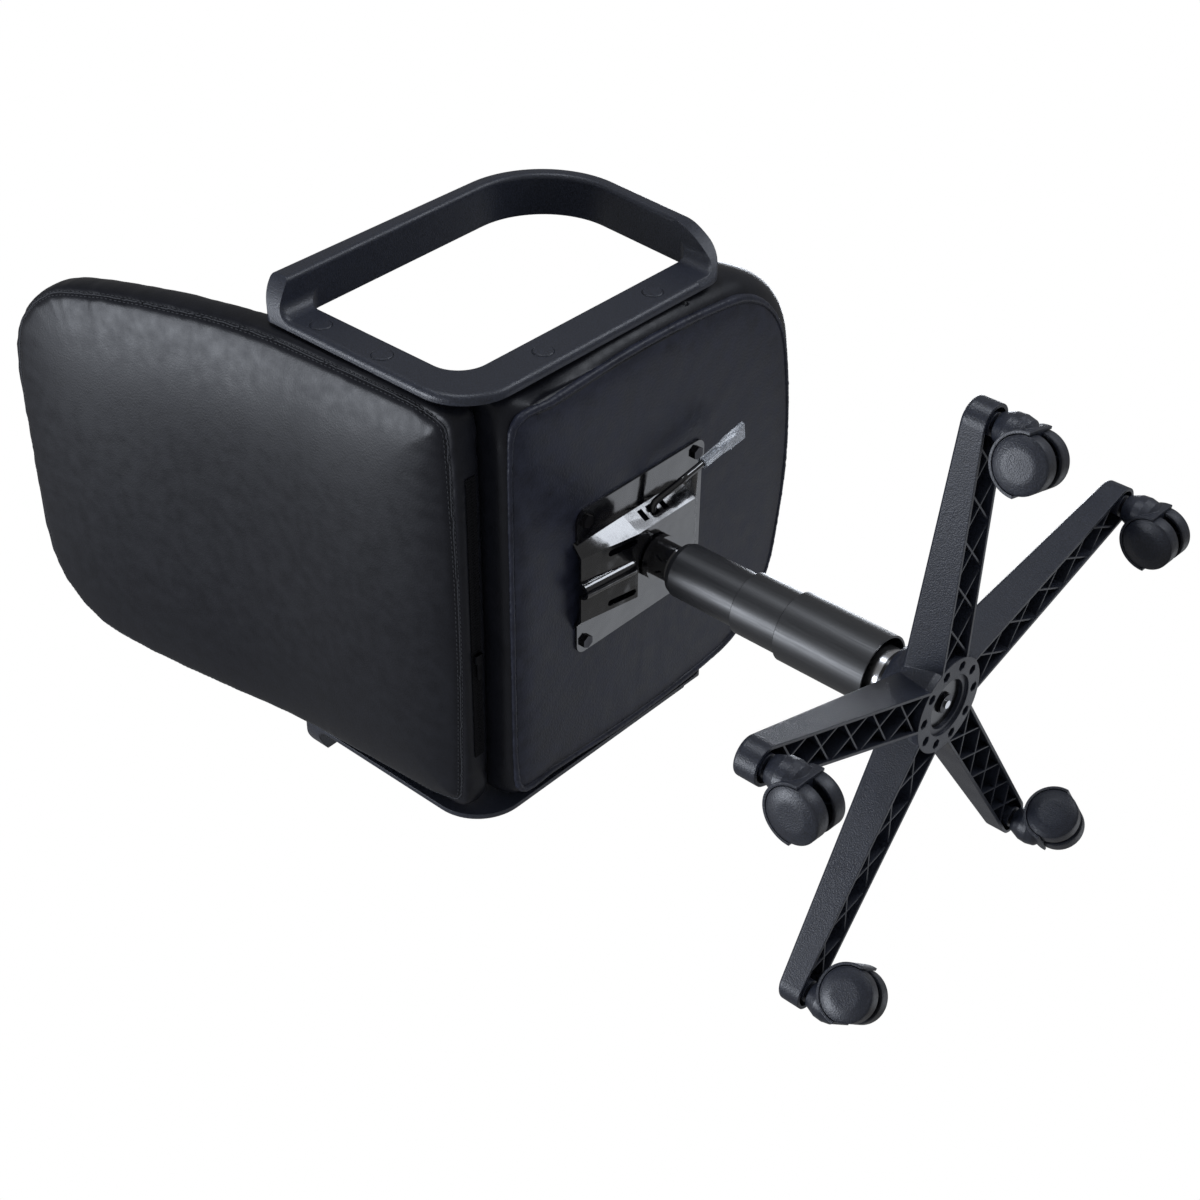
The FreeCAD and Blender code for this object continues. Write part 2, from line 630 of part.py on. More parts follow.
def lift_tube():
    bore = TUBE_R - TUBE_WALL
    roof = TUBE_TOP_Z - TUBE_CAP
    button = BUTTON_R + RUN_FIT
    return turned([(bore, TUBE_FOOT_Z), (TUBE_R, TUBE_FOOT_Z), (TUBE_R, SOCKET_FOOT_Z),
                   (TUBE_R - TUBE_TAPER, TUBE_TOP_Z), (button, TUBE_TOP_Z), (button, roof), (bore, roof)])


def tube_end_guide():
    outer = TUBE_R - TUBE_WALL - SEAT_FIT
    return ring(outer, ROD_R + RUN_FIT, TUBE_FOOT_Z, TUBE_FOOT_Z + TUBE_GUIDE_L)


def release_button():
    return cyl(BUTTON_R, TUBE_TOP_Z - BUTTON_IN_CAP, BUTTON_TOP_Z)


def sleeve(radius, foot, length, top_bore):
    """Plain sleeve with a catching lip at each end: outwards at the foot, inwards at the top."""
    bore = radius - SLEEVE_T
    top = foot + length
    return turned([(bore, foot), (radius + SLEEVE_LIP, foot), (radius + SLEEVE_LIP, foot + SLEEVE_LIP_H),
                   (radius, foot + SLEEVE_LIP_H), (radius, top - SLEEVE_CHAMFER),
                   (radius - SLEEVE_CHAMFER, top), (top_bore, top),
                   (top_bore, top - SLEEVE_LIP_H), (bore, top - SLEEVE_LIP_H)])


def cover_upper():
    """Top sleeve: its sloping shoulder closes on the lift's tube."""
    radius = UPPER_SLEEVE_R
    bore = radius - SLEEVE_T
    foot = UPPER_SLEEVE_FOOT_Z
    top = foot + UPPER_SLEEVE_L
    neck = TUBE_R + BOLT_FIT
    turn = SLEEVE_SHOULDER_R
    slant = turn * (1 - math.sqrt(0.5))
    return turned([(neck, top), (neck, top - turn), (bore, top - turn), (bore, foot),
                   (radius + SLEEVE_LIP, foot), (radius + SLEEVE_LIP, foot + SLEEVE_LIP_H),
                   (radius, foot + SLEEVE_LIP_H), (radius, top - turn), (radius - slant, top - slant),
                   (radius - turn, top)])


def cover_middle():
    return sleeve(MIDDLE_SLEEVE_R, MIDDLE_SLEEVE_FOOT_Z, MIDDLE_SLEEVE_L, UPPER_SLEEVE_R + SLEEVE_GAP)


def cover_lower():
    """Bottom sleeve: no outer lip, because nothing slides over it."""
    radius = LOWER_SLEEVE_R
    bore = radius - SLEEVE_T
    foot = LOWER_SLEEVE_FOOT_Z
    top = foot + LOWER_SLEEVE_L
    lip = MIDDLE_SLEEVE_R + SLEEVE_GAP
    return turned([(bore, foot), (radius, foot), (radius, top - SLEEVE_CHAMFER),
                   (radius - SLEEVE_CHAMFER, top), (lip, top), (lip, top - SLEEVE_LIP_H),
                   (bore, top - SLEEVE_LIP_H)])


# Seat plate and lever

def pan_section(y, depth, floor_half, raise_by):
    """Hat section of the plate's pan at y, as a closed trapezoid."""
    top = SEAT_BASE_Z + raise_by
    floor = SEAT_BASE_Z - depth
    return polygon([V(-PAN_TOP_HALF, y, top), V(-floor_half, y, floor), V(floor_half, y, floor),
                    V(PAN_TOP_HALF, y, top)])


def pan_solid(skin, raise_by, spill):
    """Pan from its shallow open rear to its front slope; skin thickens it, spill runs past the ends."""
    front_half = (PAN_FLOOR_HALF + PAN_TOP_HALF) / 2
    stations = [(PAN_REAR_Y + spill, PAN_REAR_DEPTH, PAN_FLOOR_HALF),
                (PAN_DEEP_Y, PAN_DEPTH, PAN_FLOOR_HALF),
                (PAN_FRONT_DEEP_Y, PAN_DEPTH, PAN_FLOOR_HALF),
                (PAN_FRONT_Y, 0, front_half)]
    wires = [pan_section(y, depth + skin, half - PLATE_T + skin, raise_by) for y, depth, half in stations]
    return Part.makeLoft(wires, True, True)


def plate_bolt_points():
    return [(side * PLATE_BOLT_X, y) for side in (-1, 1) for y in (PLATE_BOLT_REAR_Y, PLATE_BOLT_FRONT_Y)]


def plate_ear(side):
    inner = side * (PAN_TOP_HALF - EAR_LAP)
    outer = side * EAR_HALF
    loop = rounded_loop([(inner, EAR_FRONT_Y, EAR_R), (outer, EAR_FRONT_Y, EAR_R),
                         (outer, EAR_REAR_Y, EAR_R), (inner, EAR_REAR_Y, EAR_INNER_R)], plan_view(FLANGE_Z))
    return solid_of(loop, V(0, 0, PLATE_T))


def rear_rib(radius):
    """Round rib along the middle of the pan's sloping rear floor."""
    start = V(0, PAN_REAR_Y + radius, SEAT_BASE_Z - PAN_REAR_DEPTH - PLATE_T / 2)
    end = V(0, RIB_FRONT_Y, SEAT_BASE_Z - PAN_DEPTH + PLATE_T)
    run = end - start
    rod = Part.makeCylinder(radius, run.Length, start, run)
    return rod.fuse(Part.makeSphere(radius, end))


def seat_plate():
    """Stamped plate: two ears, a pan that holds the socket, a rib and slots behind it."""
    front_strip = box(-PAN_TOP_HALF, PAN_TOP_HALF, PAN_FRONT_Y - FRONT_STRIP_W, PAN_FRONT_Y + OVERCUT,
                      FLANGE_Z, SEAT_BASE_Z)
    rib_room = box(-PAN_TOP_HALF, PAN_TOP_HALF, EAR_FRONT_Y, PAN_REAR_Y, 0, SEAT_BASE_Z)
    plate = pan_solid(PLATE_T, 0, 0).multiFuse([plate_ear(-1), plate_ear(1), front_strip,
                                               rear_rib(RIB_R).common(rib_room)])
    high = SEAT_BASE_Z + OVERCUT
    cuts = [pan_solid(0, OVERCUT, OVERCUT), rear_rib(RIB_R - PLATE_T), cyl(SOCKET_R + SEAT_FIT, 0, high)]
    for x, y in plate_bolt_points():
        cuts.append(cyl(PLATE_BOLT_R + BOLT_FIT, FLANGE_Z - OVERCUT, high, x, y))
    for side in (-1, 1):
        left, right = side * SLOT_X - SLOT_HALF, side * SLOT_X + SLOT_HALF
        slot = rounded_loop([(left, SLOT_FRONT_Y, SLOT_END_R), (right, SLOT_FRONT_Y, SLOT_END_R),
                             (right, SLOT_REAR_Y, SLOT_END_R), (left, SLOT_REAR_Y, SLOT_END_R)],
                            plan_view(0))
        cuts.append(solid_of(slot, V(0, 0, SEAT_BASE_Z)))
    for k in (-1, 0, 1):
        y = LEVER_PIVOT[1] + k * LEVER_SLOT_PITCH
        half = LEVER_SLOT_HALF if k == 0 else SIDE_SLOT_HALF
        cuts.append(box(-PAN_TOP_HALF - PLATE_T, -PAN_FLOOR_HALF + 2 * PLATE_T, y - half, y + half,
                        LEVER_Z - LEVER_SLOT_HALF, LEVER_Z + LEVER_SLOT_HALF))
    return plate.cut(cuts[0].multiFuse(cuts[1:])).removeSplitter()


def cylinder_socket():
    """Tapered steel socket through the pan, with the collar that is welded under it."""
    foot = TUBE_R + SEAT_FIT
    top = TUBE_R - TUBE_TAPER + SEAT_FIT
    return turned([(foot, SOCKET_FOOT_Z), (SOCKET_R - SOCKET_CHAMFER, SOCKET_FOOT_Z),
                   (SOCKET_R, SOCKET_FOOT_Z + SOCKET_CHAMFER_H),
                   (SOCKET_R, PAN_Z - SOCKET_COLLAR_H), (SOCKET_COLLAR_R, PAN_Z - SOCKET_COLLAR_H),
                   (SOCKET_COLLAR_R, PAN_Z), (SOCKET_R, PAN_Z), (SOCKET_R, TUBE_TOP_Z), (top, TUBE_TOP_Z)])


def hex_bolt(radius, length, head_r, head_h):
    """Hexagon bolt with its head below z = 0 and its shank along +Z."""
    head = solid_of(polygon([polar(head_r, 60 * k, -head_h) for k in range(6)]), V(0, 0, head_h))
    return head.fuse(cyl(radius, 0, length))


def plate_bolts():
    length = SEAT_BATTEN_Z - FLANGE_Z - T_NUT_T
    bolts = []
    for x, y in plate_bolt_points():
        bolt = hex_bolt(PLATE_BOLT_R, length, BOLT_HEAD_R, BOLT_HEAD_H)
        bolt.translate(V(x, y, FLANGE_Z))
        bolts.append(bolt)
    return Part.Compound(bolts)


def lever_points():
    inner = V(BUTTON_R, 0, LEVER_Z)
    pivot = V(LEVER_PIVOT[0], LEVER_PIVOT[1], LEVER_Z)
    bend = pivot + (pivot - inner).normalize() * LEVER_OVERRUN
    elbow = V(LEVER_ELBOW[0], LEVER_ELBOW[1], LEVER_Z - LEVER_DROP)
    neck = V(LEVER_NECK[0], LEVER_NECK[1], LEVER_Z - LEVER_DROP)
    return inner, bend, elbow, neck


def bent_rod(points, radius, bend):
    """Round rod through the points, with a tangent bend at each inner one."""
    edges = []
    at = points[0]
    for before, corner, after in zip(points, points[1:], points[2:]):
        back = (before - corner).normalize()
        on = (after - corner).normalize()
        half = back.getAngle(on) / 2
        reach = bend / math.tan(half)
        middle = corner + (back + on).normalize() * (bend / math.sin(half) - bend)
        edges.append(line(at, corner + back * reach))
        edges.append(arc(corner + back * reach, middle, corner + on * reach))
        at = corner + on * reach
    edges.append(line(at, points[-1]))
    path = Part.Wire(edges)
    section = Part.Wire([Part.makeCircle(radius, points[0], points[1] - points[0])])
    return path.makePipeShell([section], True, True)


def lift_lever():
    return bent_rod(lever_points(), LEVER_R, LEVER_BEND_R)


def grip_frame():
    """Start of the grip on the rod, its direction and the level direction across it."""
    elbow, neck = lever_points()[2:]
    along = (neck - elbow).normalize()
    return neck - along * GRIP_SEAT, along, UP.cross(along)


def lever_grip():
    """Moulded grip: round sleeve on the rod that flattens into a paddle."""
    start, along, across = grip_frame()
    sleeve_size = (GRIP_SLEEVE_R, 2 * GRIP_SLEEVE_R)
    sections = [(0.0, *sleeve_size), (GRIP_FLARE[0], *sleeve_size), (GRIP_FLARE[1], *GRIP_SHOULDER),
                (1.0, GRIP_HALF, GRIP_TIP_T)]
    wires = []
    for share, half, thick in sections:
        at = start + along * (GRIP_L * share)
        bevel = thick * GRIP_BEVEL
        rise = thick / 2
        quarter = [(half, rise - bevel), (half - bevel, rise)]
        top = quarter + [(-a, b) for a, b in reversed(quarter)]
        corners = top + [(-a, -b) for a, b in top]
        wires.append(polygon([at + across * a + UP * b for a, b in corners]))
    grip = Part.makeLoft(wires, True, True)
    before = start - along * OVERCUT
    return grip.cut(Part.makeCylinder(LEVER_R + SEAT_FIT, GRIP_SEAT + OVERCUT, before, along))


# Seat

def seat_outline(z, side, front, rear):
    """Plan outline of the seat at height z, drawn in from its full size."""
    wide = BODY_HALF_W - side
    y_rear = SEAT_REAR_Y - rear
    deep = y_rear - (SEAT_FRONT_Y + front)

    def at(x_share, y_share):
        return V(wide * x_share, y_rear - deep * y_share, z)

    right = [at(x, y) for x, y in SEAT_HALF_OUTLINE]
    left = [at(-x, y) for x, y in reversed(SEAT_HALF_OUTLINE)]
    edges = [line(left[-1], right[0])]
    edges += [arc(*right[k:k + 3]) for k in (0, 2, 4)]
    edges.append(arc(right[-1], at(0, 1), left[0]))
    edges += [arc(*left[k:k + 3]) for k in (0, 2, 4)]
    return Part.Wire(edges)


def seat_frame_solid(grow):
    """Board with a batten along each side; grow widens it for the pocket in the padding."""
    inset = SEAT_BOARD_INSET - grow
    low = SEAT_BOARD_Z - (OVERCUT if grow else 0)
    board = solid_of(seat_outline(low, inset, inset, SEAT_BOARD_REAR_INSET - grow),
                     V(0, 0, SEAT_BATTEN_Z + grow - low))
    battens = []
    for side in (-1, 1):
        x_in, x_out = sorted((side * (BATTEN_X - BATTEN_W - grow), side * (BATTEN_X + grow)))
        battens.append(box(x_in, x_out, BATTEN_FRONT_Y - grow, BATTEN_REAR_Y + grow, low,
                           SEAT_BATTEN_Z + BATTEN_H + grow))
    return board.multiFuse(battens).removeSplitter()


def t_nut(radius):
    """Flanged nut, flange face at z = 0 and barrel along -Z, for a bolt of the given radius."""
    barrel = radius + T_NUT_BARREL_WALL
    nut = cyl(T_NUT_R, -T_NUT_T, 0).fuse(cyl(barrel, -T_NUT_BARREL_L, -T_NUT_T))
    return nut.cut(cyl(radius + RUN_FIT, -T_NUT_BARREL_L - OVERCUT, OVERCUT))


def t_nut_room(radius, depth):
    """Counterbore, barrel hole and through hole that take a flanged nut."""
    room = cyl(T_NUT_R + BOLT_FIT, -T_NUT_T, PAD_GAP)
    room = room.fuse(cyl(radius + T_NUT_BARREL_WALL + BOLT_FIT, -T_NUT_BARREL_L - OVERCUT, 0))
    return room.fuse(cyl(radius + BOLT_FIT, -depth, 0))


def turned_outwards(shape, side, x, y, z):
    """Turns a piece made along Z so that its -Z points out of the chair's side, and places it."""
    placed = shape.copy()
    placed.rotate(V(0, 0, 0), ALONG_Y, -90 * side)
    placed.translate(V(x, y, z))
    return placed


def seat_arm_points():
    return [(y, ARM_SEAT_BOLT_Z) for y in ARM_SEAT_BOLT_YS]


def back_arm_points():
    return [(ARM_BACK_BOLT_Y, BACK_FOOT_Z + up) for up in ARM_BACK_BOLT_UPS]


def side_nuts(points, make):
    """One piece from make at each point on both sides, on the battens' inner faces."""
    inner = BATTEN_X - BATTEN_W
    return [turned_outwards(make, side, side * inner, y, z) for side in (-1, 1) for y, z in points]


def plate_nuts(make):
    nuts = []
    for x, y in plate_bolt_points():
        nut = make.copy()
        nut.translate(V(x, y, SEAT_BATTEN_Z))
        nuts.append(nut)
    return nuts


def seat_frame():
    rooms = plate_nuts(t_nut_room(PLATE_BOLT_R, SEAT_BOARD_T + OVERCUT))
    rooms += side_nuts(seat_arm_points(), t_nut_room(ARM_BOLT_R, BATTEN_W + OVERCUT))
    return seat_frame_solid(0).cut(rooms[0].multiFuse(rooms[1:]))


def seat_t_nuts():
    return Part.Compound(plate_nuts(t_nut(PLATE_BOLT_R)) + side_nuts(seat_arm_points(), t_nut(ARM_BOLT_R)))


def arm_bolt_holes(points):
    """Bolt holes through the padding on both sides."""
    inner = BATTEN_X - OVERCUT
    outer = RAIL_X + OVERCUT
    holes = []
    for side in (-1, 1):
        x0, x1 = sorted((side * inner, side * outer))
        holes += [cyl_x(ARM_BOLT_R + BOLT_FIT, x0, x1, y, z) for y, z in points]
    return holes


def seat_cushion():
    """Padded seat: drawn-in lower edge, boxing that bulges between its seams, crowned top panel."""
    seam = SEAT_SEAM_DIP / SEAT_SEAM_INSET
    boxing = [*SEAT_BOXING_ROWS, (1.0, seam)]
    turns = [math.radians(step) for step in SEAT_CROWN_STEPS]
    crown = [(math.sin(turn), SEAT_SEAM_DIP + SEAT_CROWN_INSET * (1 - math.cos(turn))) for turn in turns]
    lower = [seat_outline(SEAT_BOARD_Z + SEAT_BOXING_H * up, SEAT_SEAM_INSET * share,
                          SEAT_SEAM_FRONT * share, SEAT_SEAM_REAR * share) for up, share in boxing]
    upper = [seat_outline(SEAT_SEAM_Z + SEAT_CROWN_H * up, inset, inset, inset) for up, inset in crown]
    cushion = Part.makeLoft(lower + upper, True, True)
    holes = arm_bolt_holes(seat_arm_points())
    pocket = seat_frame_solid(PAD_GAP).multiFuse(holes)
    return cushion.cut(pocket)


def seat_bottom_cover():
    """Puffed panel sewn under the seat, with the plate's bolt holes."""
    top = SEAT_BOARD_Z
    wires = [seat_outline(top - SEAT_COVER_T * down, SEAT_SEAM_INSET + more, SEAT_SEAM_FRONT + more,
                          SEAT_SEAM_REAR + more) for down, more in SEAT_COVER_ROWS]
    panel = Part.makeLoft(wires, True, True)
    for x, y in plate_bolt_points():
        panel = panel.cut(cyl(PLATE_BOLT_R + BOLT_FIT, SEAT_BASE_Z - OVERCUT, top + OVERCUT, x, y))
    return panel


# Back

def back_rear_y(z):
    """Rear seam of the back at height z: a slight lean, a lumbar bend, then the full lean."""
    low = math.radians(BACK_LOW_LEAN)
    high = math.radians(BACK_TOP_LEAN)
    bend_r = BACK_BEND_H / (math.sin(high) - math.sin(low))
    up = z - BACK_FOOT_Z
    y = BACK_FOOT_Y + min(up, BACK_BEND_UP) * math.tan(low)
    if up > BACK_BEND_UP:
        turn = math.asin(math.sin(low) + min(up - BACK_BEND_UP, BACK_BEND_H) / bend_r)
        y += bend_r * (math.cos(low) - math.cos(turn))
    if up > BACK_BEND_UP + BACK_BEND_H:
        y += (up - BACK_BEND_UP - BACK_BEND_H) * math.tan(high)
    return y


def quarter_round(distance, length):
    """How far an elliptic corner has come in, as a share, at a distance from its end."""
    left = max(0, 1 - distance / length)
    return 1 - math.sqrt(1 - left ** 2)


def back_heights():
    """Heights of the back's sections over its foot, close together round the corners."""
    rises = [1 - math.sin(math.radians(turn)) for turn in BACK_CORNER_TURNS]
    foot = [BACK_FOOT_CORNER[1] * rise for rise in rises]
    top = [BACK_H - BACK_TOP_CORNER[1] * rise for rise in reversed(rises)]
    step = (top[0] - foot[-1]) / BACK_MIDDLE_ROWS
    middle = [foot[-1] + step * k for k in range(1, BACK_MIDDLE_ROWS)]
    return foot + middle + top


def back_slice(height):
    """Level section of the back: crowned rear and front panels between two rounded boxings."""
    z = BACK_FOOT_Z + height
    up = height / BACK_H
    end = min(height, BACK_H - height)
    thick = 1 - BACK_END_ROUND[1] * quarter_round(end, BACK_END_ROUND[0])
    rear = back_rear_y(z) - BACK_EDGE * (1 - thick) / 2
    front = rear - BACK_EDGE * thick
    loss, power = BACK_TAPER
    half = BODY_HALF_W * (BACK_WIDEST[1] - loss * abs(up - BACK_WIDEST[0]) ** power)
    half -= BACK_TOP_CORNER[0] * quarter_round(BACK_H - height, BACK_TOP_CORNER[1])
    half -= BACK_FOOT_CORNER[0] * quarter_round(height, BACK_FOOT_CORNER[1])
    seam = half - BACK_BOXING_BULGE
    front_up = max(0, up - BACK_CROWN_START) / (1 - BACK_CROWN_START)
    rear_crown = BACK_REAR_CROWN * max(BACK_END_CROWNS[0], math.sqrt(max(0, math.sin(math.pi * up))))
    front_crown = BACK_FRONT_CROWN * max(BACK_END_CROWNS[1], math.sin(math.pi * front_up))
    middle = (rear + front) / 2
    return Part.Wire([
        arc(V(-seam, rear, z), V(0, rear + rear_crown, z), V(seam, rear, z)),
        arc(V(seam, rear, z), V(half, middle, z), V(seam, front, z)),
        arc(V(seam, front, z), V(0, front - front_crown, z), V(-seam, front, z)),
        arc(V(-seam, front, z), V(-half, middle, z), V(-seam, rear, z)),
    ])


def back_frame_solid(grow):
    """Bent board with a batten at each side for the arm bolts; grow widens it for its pocket."""
    z0 = BACK_FOOT_Z + BACK_BOARD_MARGIN - grow
    z1 = BACK_FOOT_Z + BACK_BEND_UP
    z2 = z1 + BACK_BEND_H
    z3 = BACK_FOOT_Z + BACK_H - BACK_BOARD_TOP + grow
    half = BATTEN_X - BATTEN_W / 2

    def face_edges(offset):
        points = [V(-half - grow, back_rear_y(z) - BACK_EDGE / 2 + offset, z)
                  for z in (z0, z1, (z1 + z2) / 2, z2, z3)]
        return [line(points[0], points[1]), arc(*points[1:4]), line(points[3], points[4])], points

    rear_edges, rear = face_edges(BACK_BOARD_T / 2 + grow)
    front_edges, front = face_edges(-BACK_BOARD_T / 2 - grow)
    ends = [line(rear[0], front[0]), line(rear[4], front[4])]
    profile = Part.Wire(Part.__sortEdges__(rear_edges + front_edges + ends))
    board = solid_of(profile, V(2 * half + 2 * grow, 0, 0))
    wide = half + grow
    top_half = BACK_BOARD_TOP_HALF + grow
    foot_r, bend_r, top_r = BACK_BOARD_RADII
    outline = rounded_loop([(-wide, z0, foot_r), (wide, z0, foot_r), (wide, z2, bend_r),
                            (top_half, z3, top_r), (-top_half, z3, top_r), (-wide, z2, bend_r)],
                           lambda a, b: V(a, BACK_FOOT_Y - 2 * BACK_EDGE, b))
    board = board.common(solid_of(outline, V(0, back_rear_y(z3) - BACK_FOOT_Y + 2 * BACK_EDGE, 0)))
    low = BACK_FOOT_Z + BACK_BATTEN_LOW - grow
    high = BACK_FOOT_Z + BACK_BATTEN_HIGH + grow
    middle = ARM_BACK_BOLT_Y
    thick = BACK_BATTEN_T / 2 + grow
    battens = []
    for side in (-1, 1):
        x_in, x_out = sorted((side * (BATTEN_X - BATTEN_W - grow), side * (BATTEN_X + grow)))
        battens.append(box(x_in, x_out, middle - thick, middle + thick, low, high))
    return board.multiFuse(battens).removeSplitter()


def back_frame():
    rooms = side_nuts(back_arm_points(), t_nut_room(ARM_BOLT_R, BATTEN_W + OVERCUT))
    return back_frame_solid(0).cut(rooms[0].multiFuse(rooms[1:]))


def back_t_nuts():
    return Part.Compound(side_nuts(back_arm_points(), t_nut(ARM_BOLT_R)))


def back_cushion():
    """Padded back: level sections from foot to top, following the lumbar bend."""
    cushion = Part.makeLoft([back_slice(height) for height in back_heights()], True, True)
    pocket = back_frame_solid(PAD_GAP).multiFuse(arm_bolt_holes(back_arm_points()))
    return cushion.cut(pocket)


def zip_y():
    return back_rear_y(BACK_FOOT_Z) - BACK_EDGE / 2


def zip_tape():
    return box(-ZIP_HALF_L - ZIP_SLIDER_L, ZIP_HALF_L + ZIP_SLIDER_L, zip_y() - ZIP_HALF_W,
               zip_y() + ZIP_HALF_W, BACK_FOOT_Z - ZIP_T, BACK_FOOT_Z)


def zip_slider():
    """Slider under the tape with its pull tab lying along the tape."""
    top = BACK_FOOT_Z - ZIP_T - PAD_GAP
    low = top - ZIP_SLIDER_H
    half = ZIP_SLIDER_L / 2
    body = box(ZIP_AT_X - half, ZIP_AT_X + half, zip_y() - half, zip_y() + half, low, top)
    end = ZIP_AT_X + ZIP_PULL_L
    front, rear = zip_y() - ZIP_PULL_HALF, zip_y() + ZIP_PULL_HALF
    tab = rounded_loop([(ZIP_AT_X, front, ZIP_PULL_ROOT_R), (end, front, ZIP_PULL_R),
                        (end, rear, ZIP_PULL_R), (ZIP_AT_X, rear, ZIP_PULL_ROOT_R)], plan_view(low))
    return body.fuse(solid_of(tab, V(0, 0, ZIP_T)))


# Arms

def post_front_y(z):
    """Front of the leaning post at height z."""
    return ARM_FRONT_Y + ARM_POST_LEAN * (ARM_TOP_Z - z) / (ARM_TOP_Z - ARM_FOOT_Z)


def arm_inner_loop(x):
    """Opening of the arm loop, in side view."""
    rear = ARM_REAR_Y - ARM_BACK_RAIL_W
    top = ARM_TOP_Z - ARM_BAND_T
    floor = ARM_FOOT_Z + ARM_SEAT_RAIL_H
    return rounded_loop([(post_front_y(floor) + ARM_BAND_T, floor, ARM_LOOP_TOE_R),
                         (rear, floor, ARM_LOOP_HEEL_R), (rear, top - ARM_PAD_DIP, ARM_BAND_T),
                         (post_front_y(top) + ARM_BAND_T, top, ARM_ELBOW_R - ARM_BAND_T)], side_view(x))


def rail_relief():
    """What is taken off outside the rails, blended into the pad and the front post."""
    top = ARM_TOP_Z - ARM_BAND_T
    front = post_front_y(top) + ARM_BAND_T
    rear = ARM_REAR_Y + ARM_BAND_W
    share = (rear - front) / (ARM_REAR_Y - ARM_BACK_RAIL_W - front)
    low = ARM_FOOT_Z - ARM_BAND_W
    loop = rounded_loop([(post_front_y(low) + ARM_BAND_T, low, 0), (rear, low, 0),
                         (rear, top - ARM_PAD_DIP * share, 0), (front, top, ARM_ELBOW_R - ARM_BAND_T)],
                        side_view(RAIL_FACE_X))
    relief = solid_of(loop, V(ARM_BAND_W, 0, 0))
    kept = [e for e in relief.Edges if abs(e.BoundBox.XMax - RAIL_FACE_X) < TOUCH
            and e.BoundBox.YMin < rear - TOUCH and e.BoundBox.ZMax > low + TOUCH]
    return relief.makeFillet(ARM_BLEND_R, kept)


def flare(length, place, run):
    """What is taken off the band's outer corner over the given length, as it narrows to the rail."""
    start = RAIL_FACE_X - ARM_RAIL_EDGE_R
    far = ARM_OUT_X + OVERCUT
    middle = place(start + (ARM_OUT_X - start) * FLARE_BOW[0], length * FLARE_BOW[1])
    corners = [place(ARM_OUT_X, length), place(far, length), place(far, -OVERCUT), place(start, -OVERCUT),
               place(start, 0)]
    edges = [line(a, b) for a, b in zip(corners, corners[1:])]
    edges.append(arc(corners[-1], middle, corners[0]))
    return solid_of(Part.Wire(edges), run)


def flare_corners():
    """Flares at the front post's foot and at the pad's rear end."""
    reach = ARM_BAND_T + 2 * ARM_BLEND_R
    post_reach = reach + ARM_POST_LEAN
    front, top = ARM_FRONT_Y - OVERCUT, ARM_TOP_Z + OVERCUT
    foot = flare(ARM_POST_FLARE, lambda a, b: V(a, front, ARM_FOOT_Z + b), V(0, post_reach, 0))
    back = flare(ARM_PAD_FLARE, lambda a, b: V(a, ARM_REAR_Y - b, top), V(0, 0, -reach - ARM_PAD_DIP))
    return foot.fuse(back)


def rail_edges(loop):
    """Outer edges of the rails, under the seat rail and behind the back rail."""
    foot = ARM_FOOT_Z + TOUCH
    rear = ARM_REAR_Y - TOUCH
    boxes = [(e, e.BoundBox) for e in loop.Edges]
    level = [(e, b) for e, b in boxes if abs(b.XMin - RAIL_FACE_X) < TOUCH and b.XLength < TOUCH]
    return [e for e, b in level if b.ZMax < foot or b.YMin > rear or (b.YMax > rear and b.ZMin < foot)]


def arm_points():
    return seat_arm_points() + back_arm_points()


def arm_left():
    """Moulded loop: wide pad and front post, thin rails against the seat and the back."""
    outline = rounded_loop([(post_front_y(ARM_FOOT_Z), ARM_FOOT_Z, ARM_TOE_R),
                            (ARM_REAR_Y, ARM_FOOT_Z, ARM_HEEL_R), (ARM_REAR_Y, ARM_TOP_Z, ARM_REAR_TOP_R),
                            (ARM_FRONT_Y, ARM_TOP_Z, ARM_ELBOW_R)], side_view(RAIL_X))
    loop = solid_of(outline, V(ARM_BAND_W, 0, 0)).cut(solid_of(arm_inner_loop(RAIL_X), V(ARM_BAND_W, 0, 0)))
    loop = loop.cut(rail_relief())
    loop = loop.makeFillet(ARM_RAIL_EDGE_R, rail_edges(loop)).cut(flare_corners())
    rim = [e for e in loop.Edges if e.BoundBox.XMin > ARM_OUT_X - TOUCH and e.Length > 2 * ARM_BAND_T]
    loop = loop.makeFillet(ARM_EDGE_R, rim)
    outside = RAIL_FACE_X + OVERCUT
    head_x = RAIL_FACE_X - ARM_CAP_T - ARM_BOLT_HEAD_H
    for y, z in arm_points():
        loop = loop.cut(cyl_x(ARM_BOLT_R + BOLT_FIT, RAIL_X - OVERCUT, outside, y, z))
        loop = loop.cut(cyl_x(ARM_CAP_R + BOLT_FIT, head_x, outside, y, z))
    return loop


def arm_hardware(make, depth):
    """One piece from make at each arm bolt on both sides, depth inside the rail's outer face."""
    x = RAIL_FACE_X - depth
    placed = []
    for side in (-1, 1):
        for y, z in arm_points():
            piece = make.copy()
            piece.rotate(V(0, 0, 0), ALONG_Y, -90 * side)
            piece.translate(V(side * x, y, z))
            placed.append(piece)
    return Part.Compound(placed)


def arm_bolts():
    depth = ARM_CAP_T + ARM_BOLT_HEAD_H
    length = RAIL_FACE_X - depth - (BATTEN_X - BATTEN_W) - PAD_GAP
    return arm_hardware(hex_bolt(ARM_BOLT_R, length, ARM_BOLT_HEAD_R, ARM_BOLT_HEAD_H), depth)


def arm_caps():
    face_r = ARM_CAP_R - ARM_CAP_PROUD
    cap = turned([(0, -ARM_CAP_PROUD), (face_r, -ARM_CAP_PROUD), (ARM_CAP_R, 0), (ARM_CAP_R, ARM_CAP_T),
                  (0, ARM_CAP_T)])
    return arm_hardware(cap, 0)


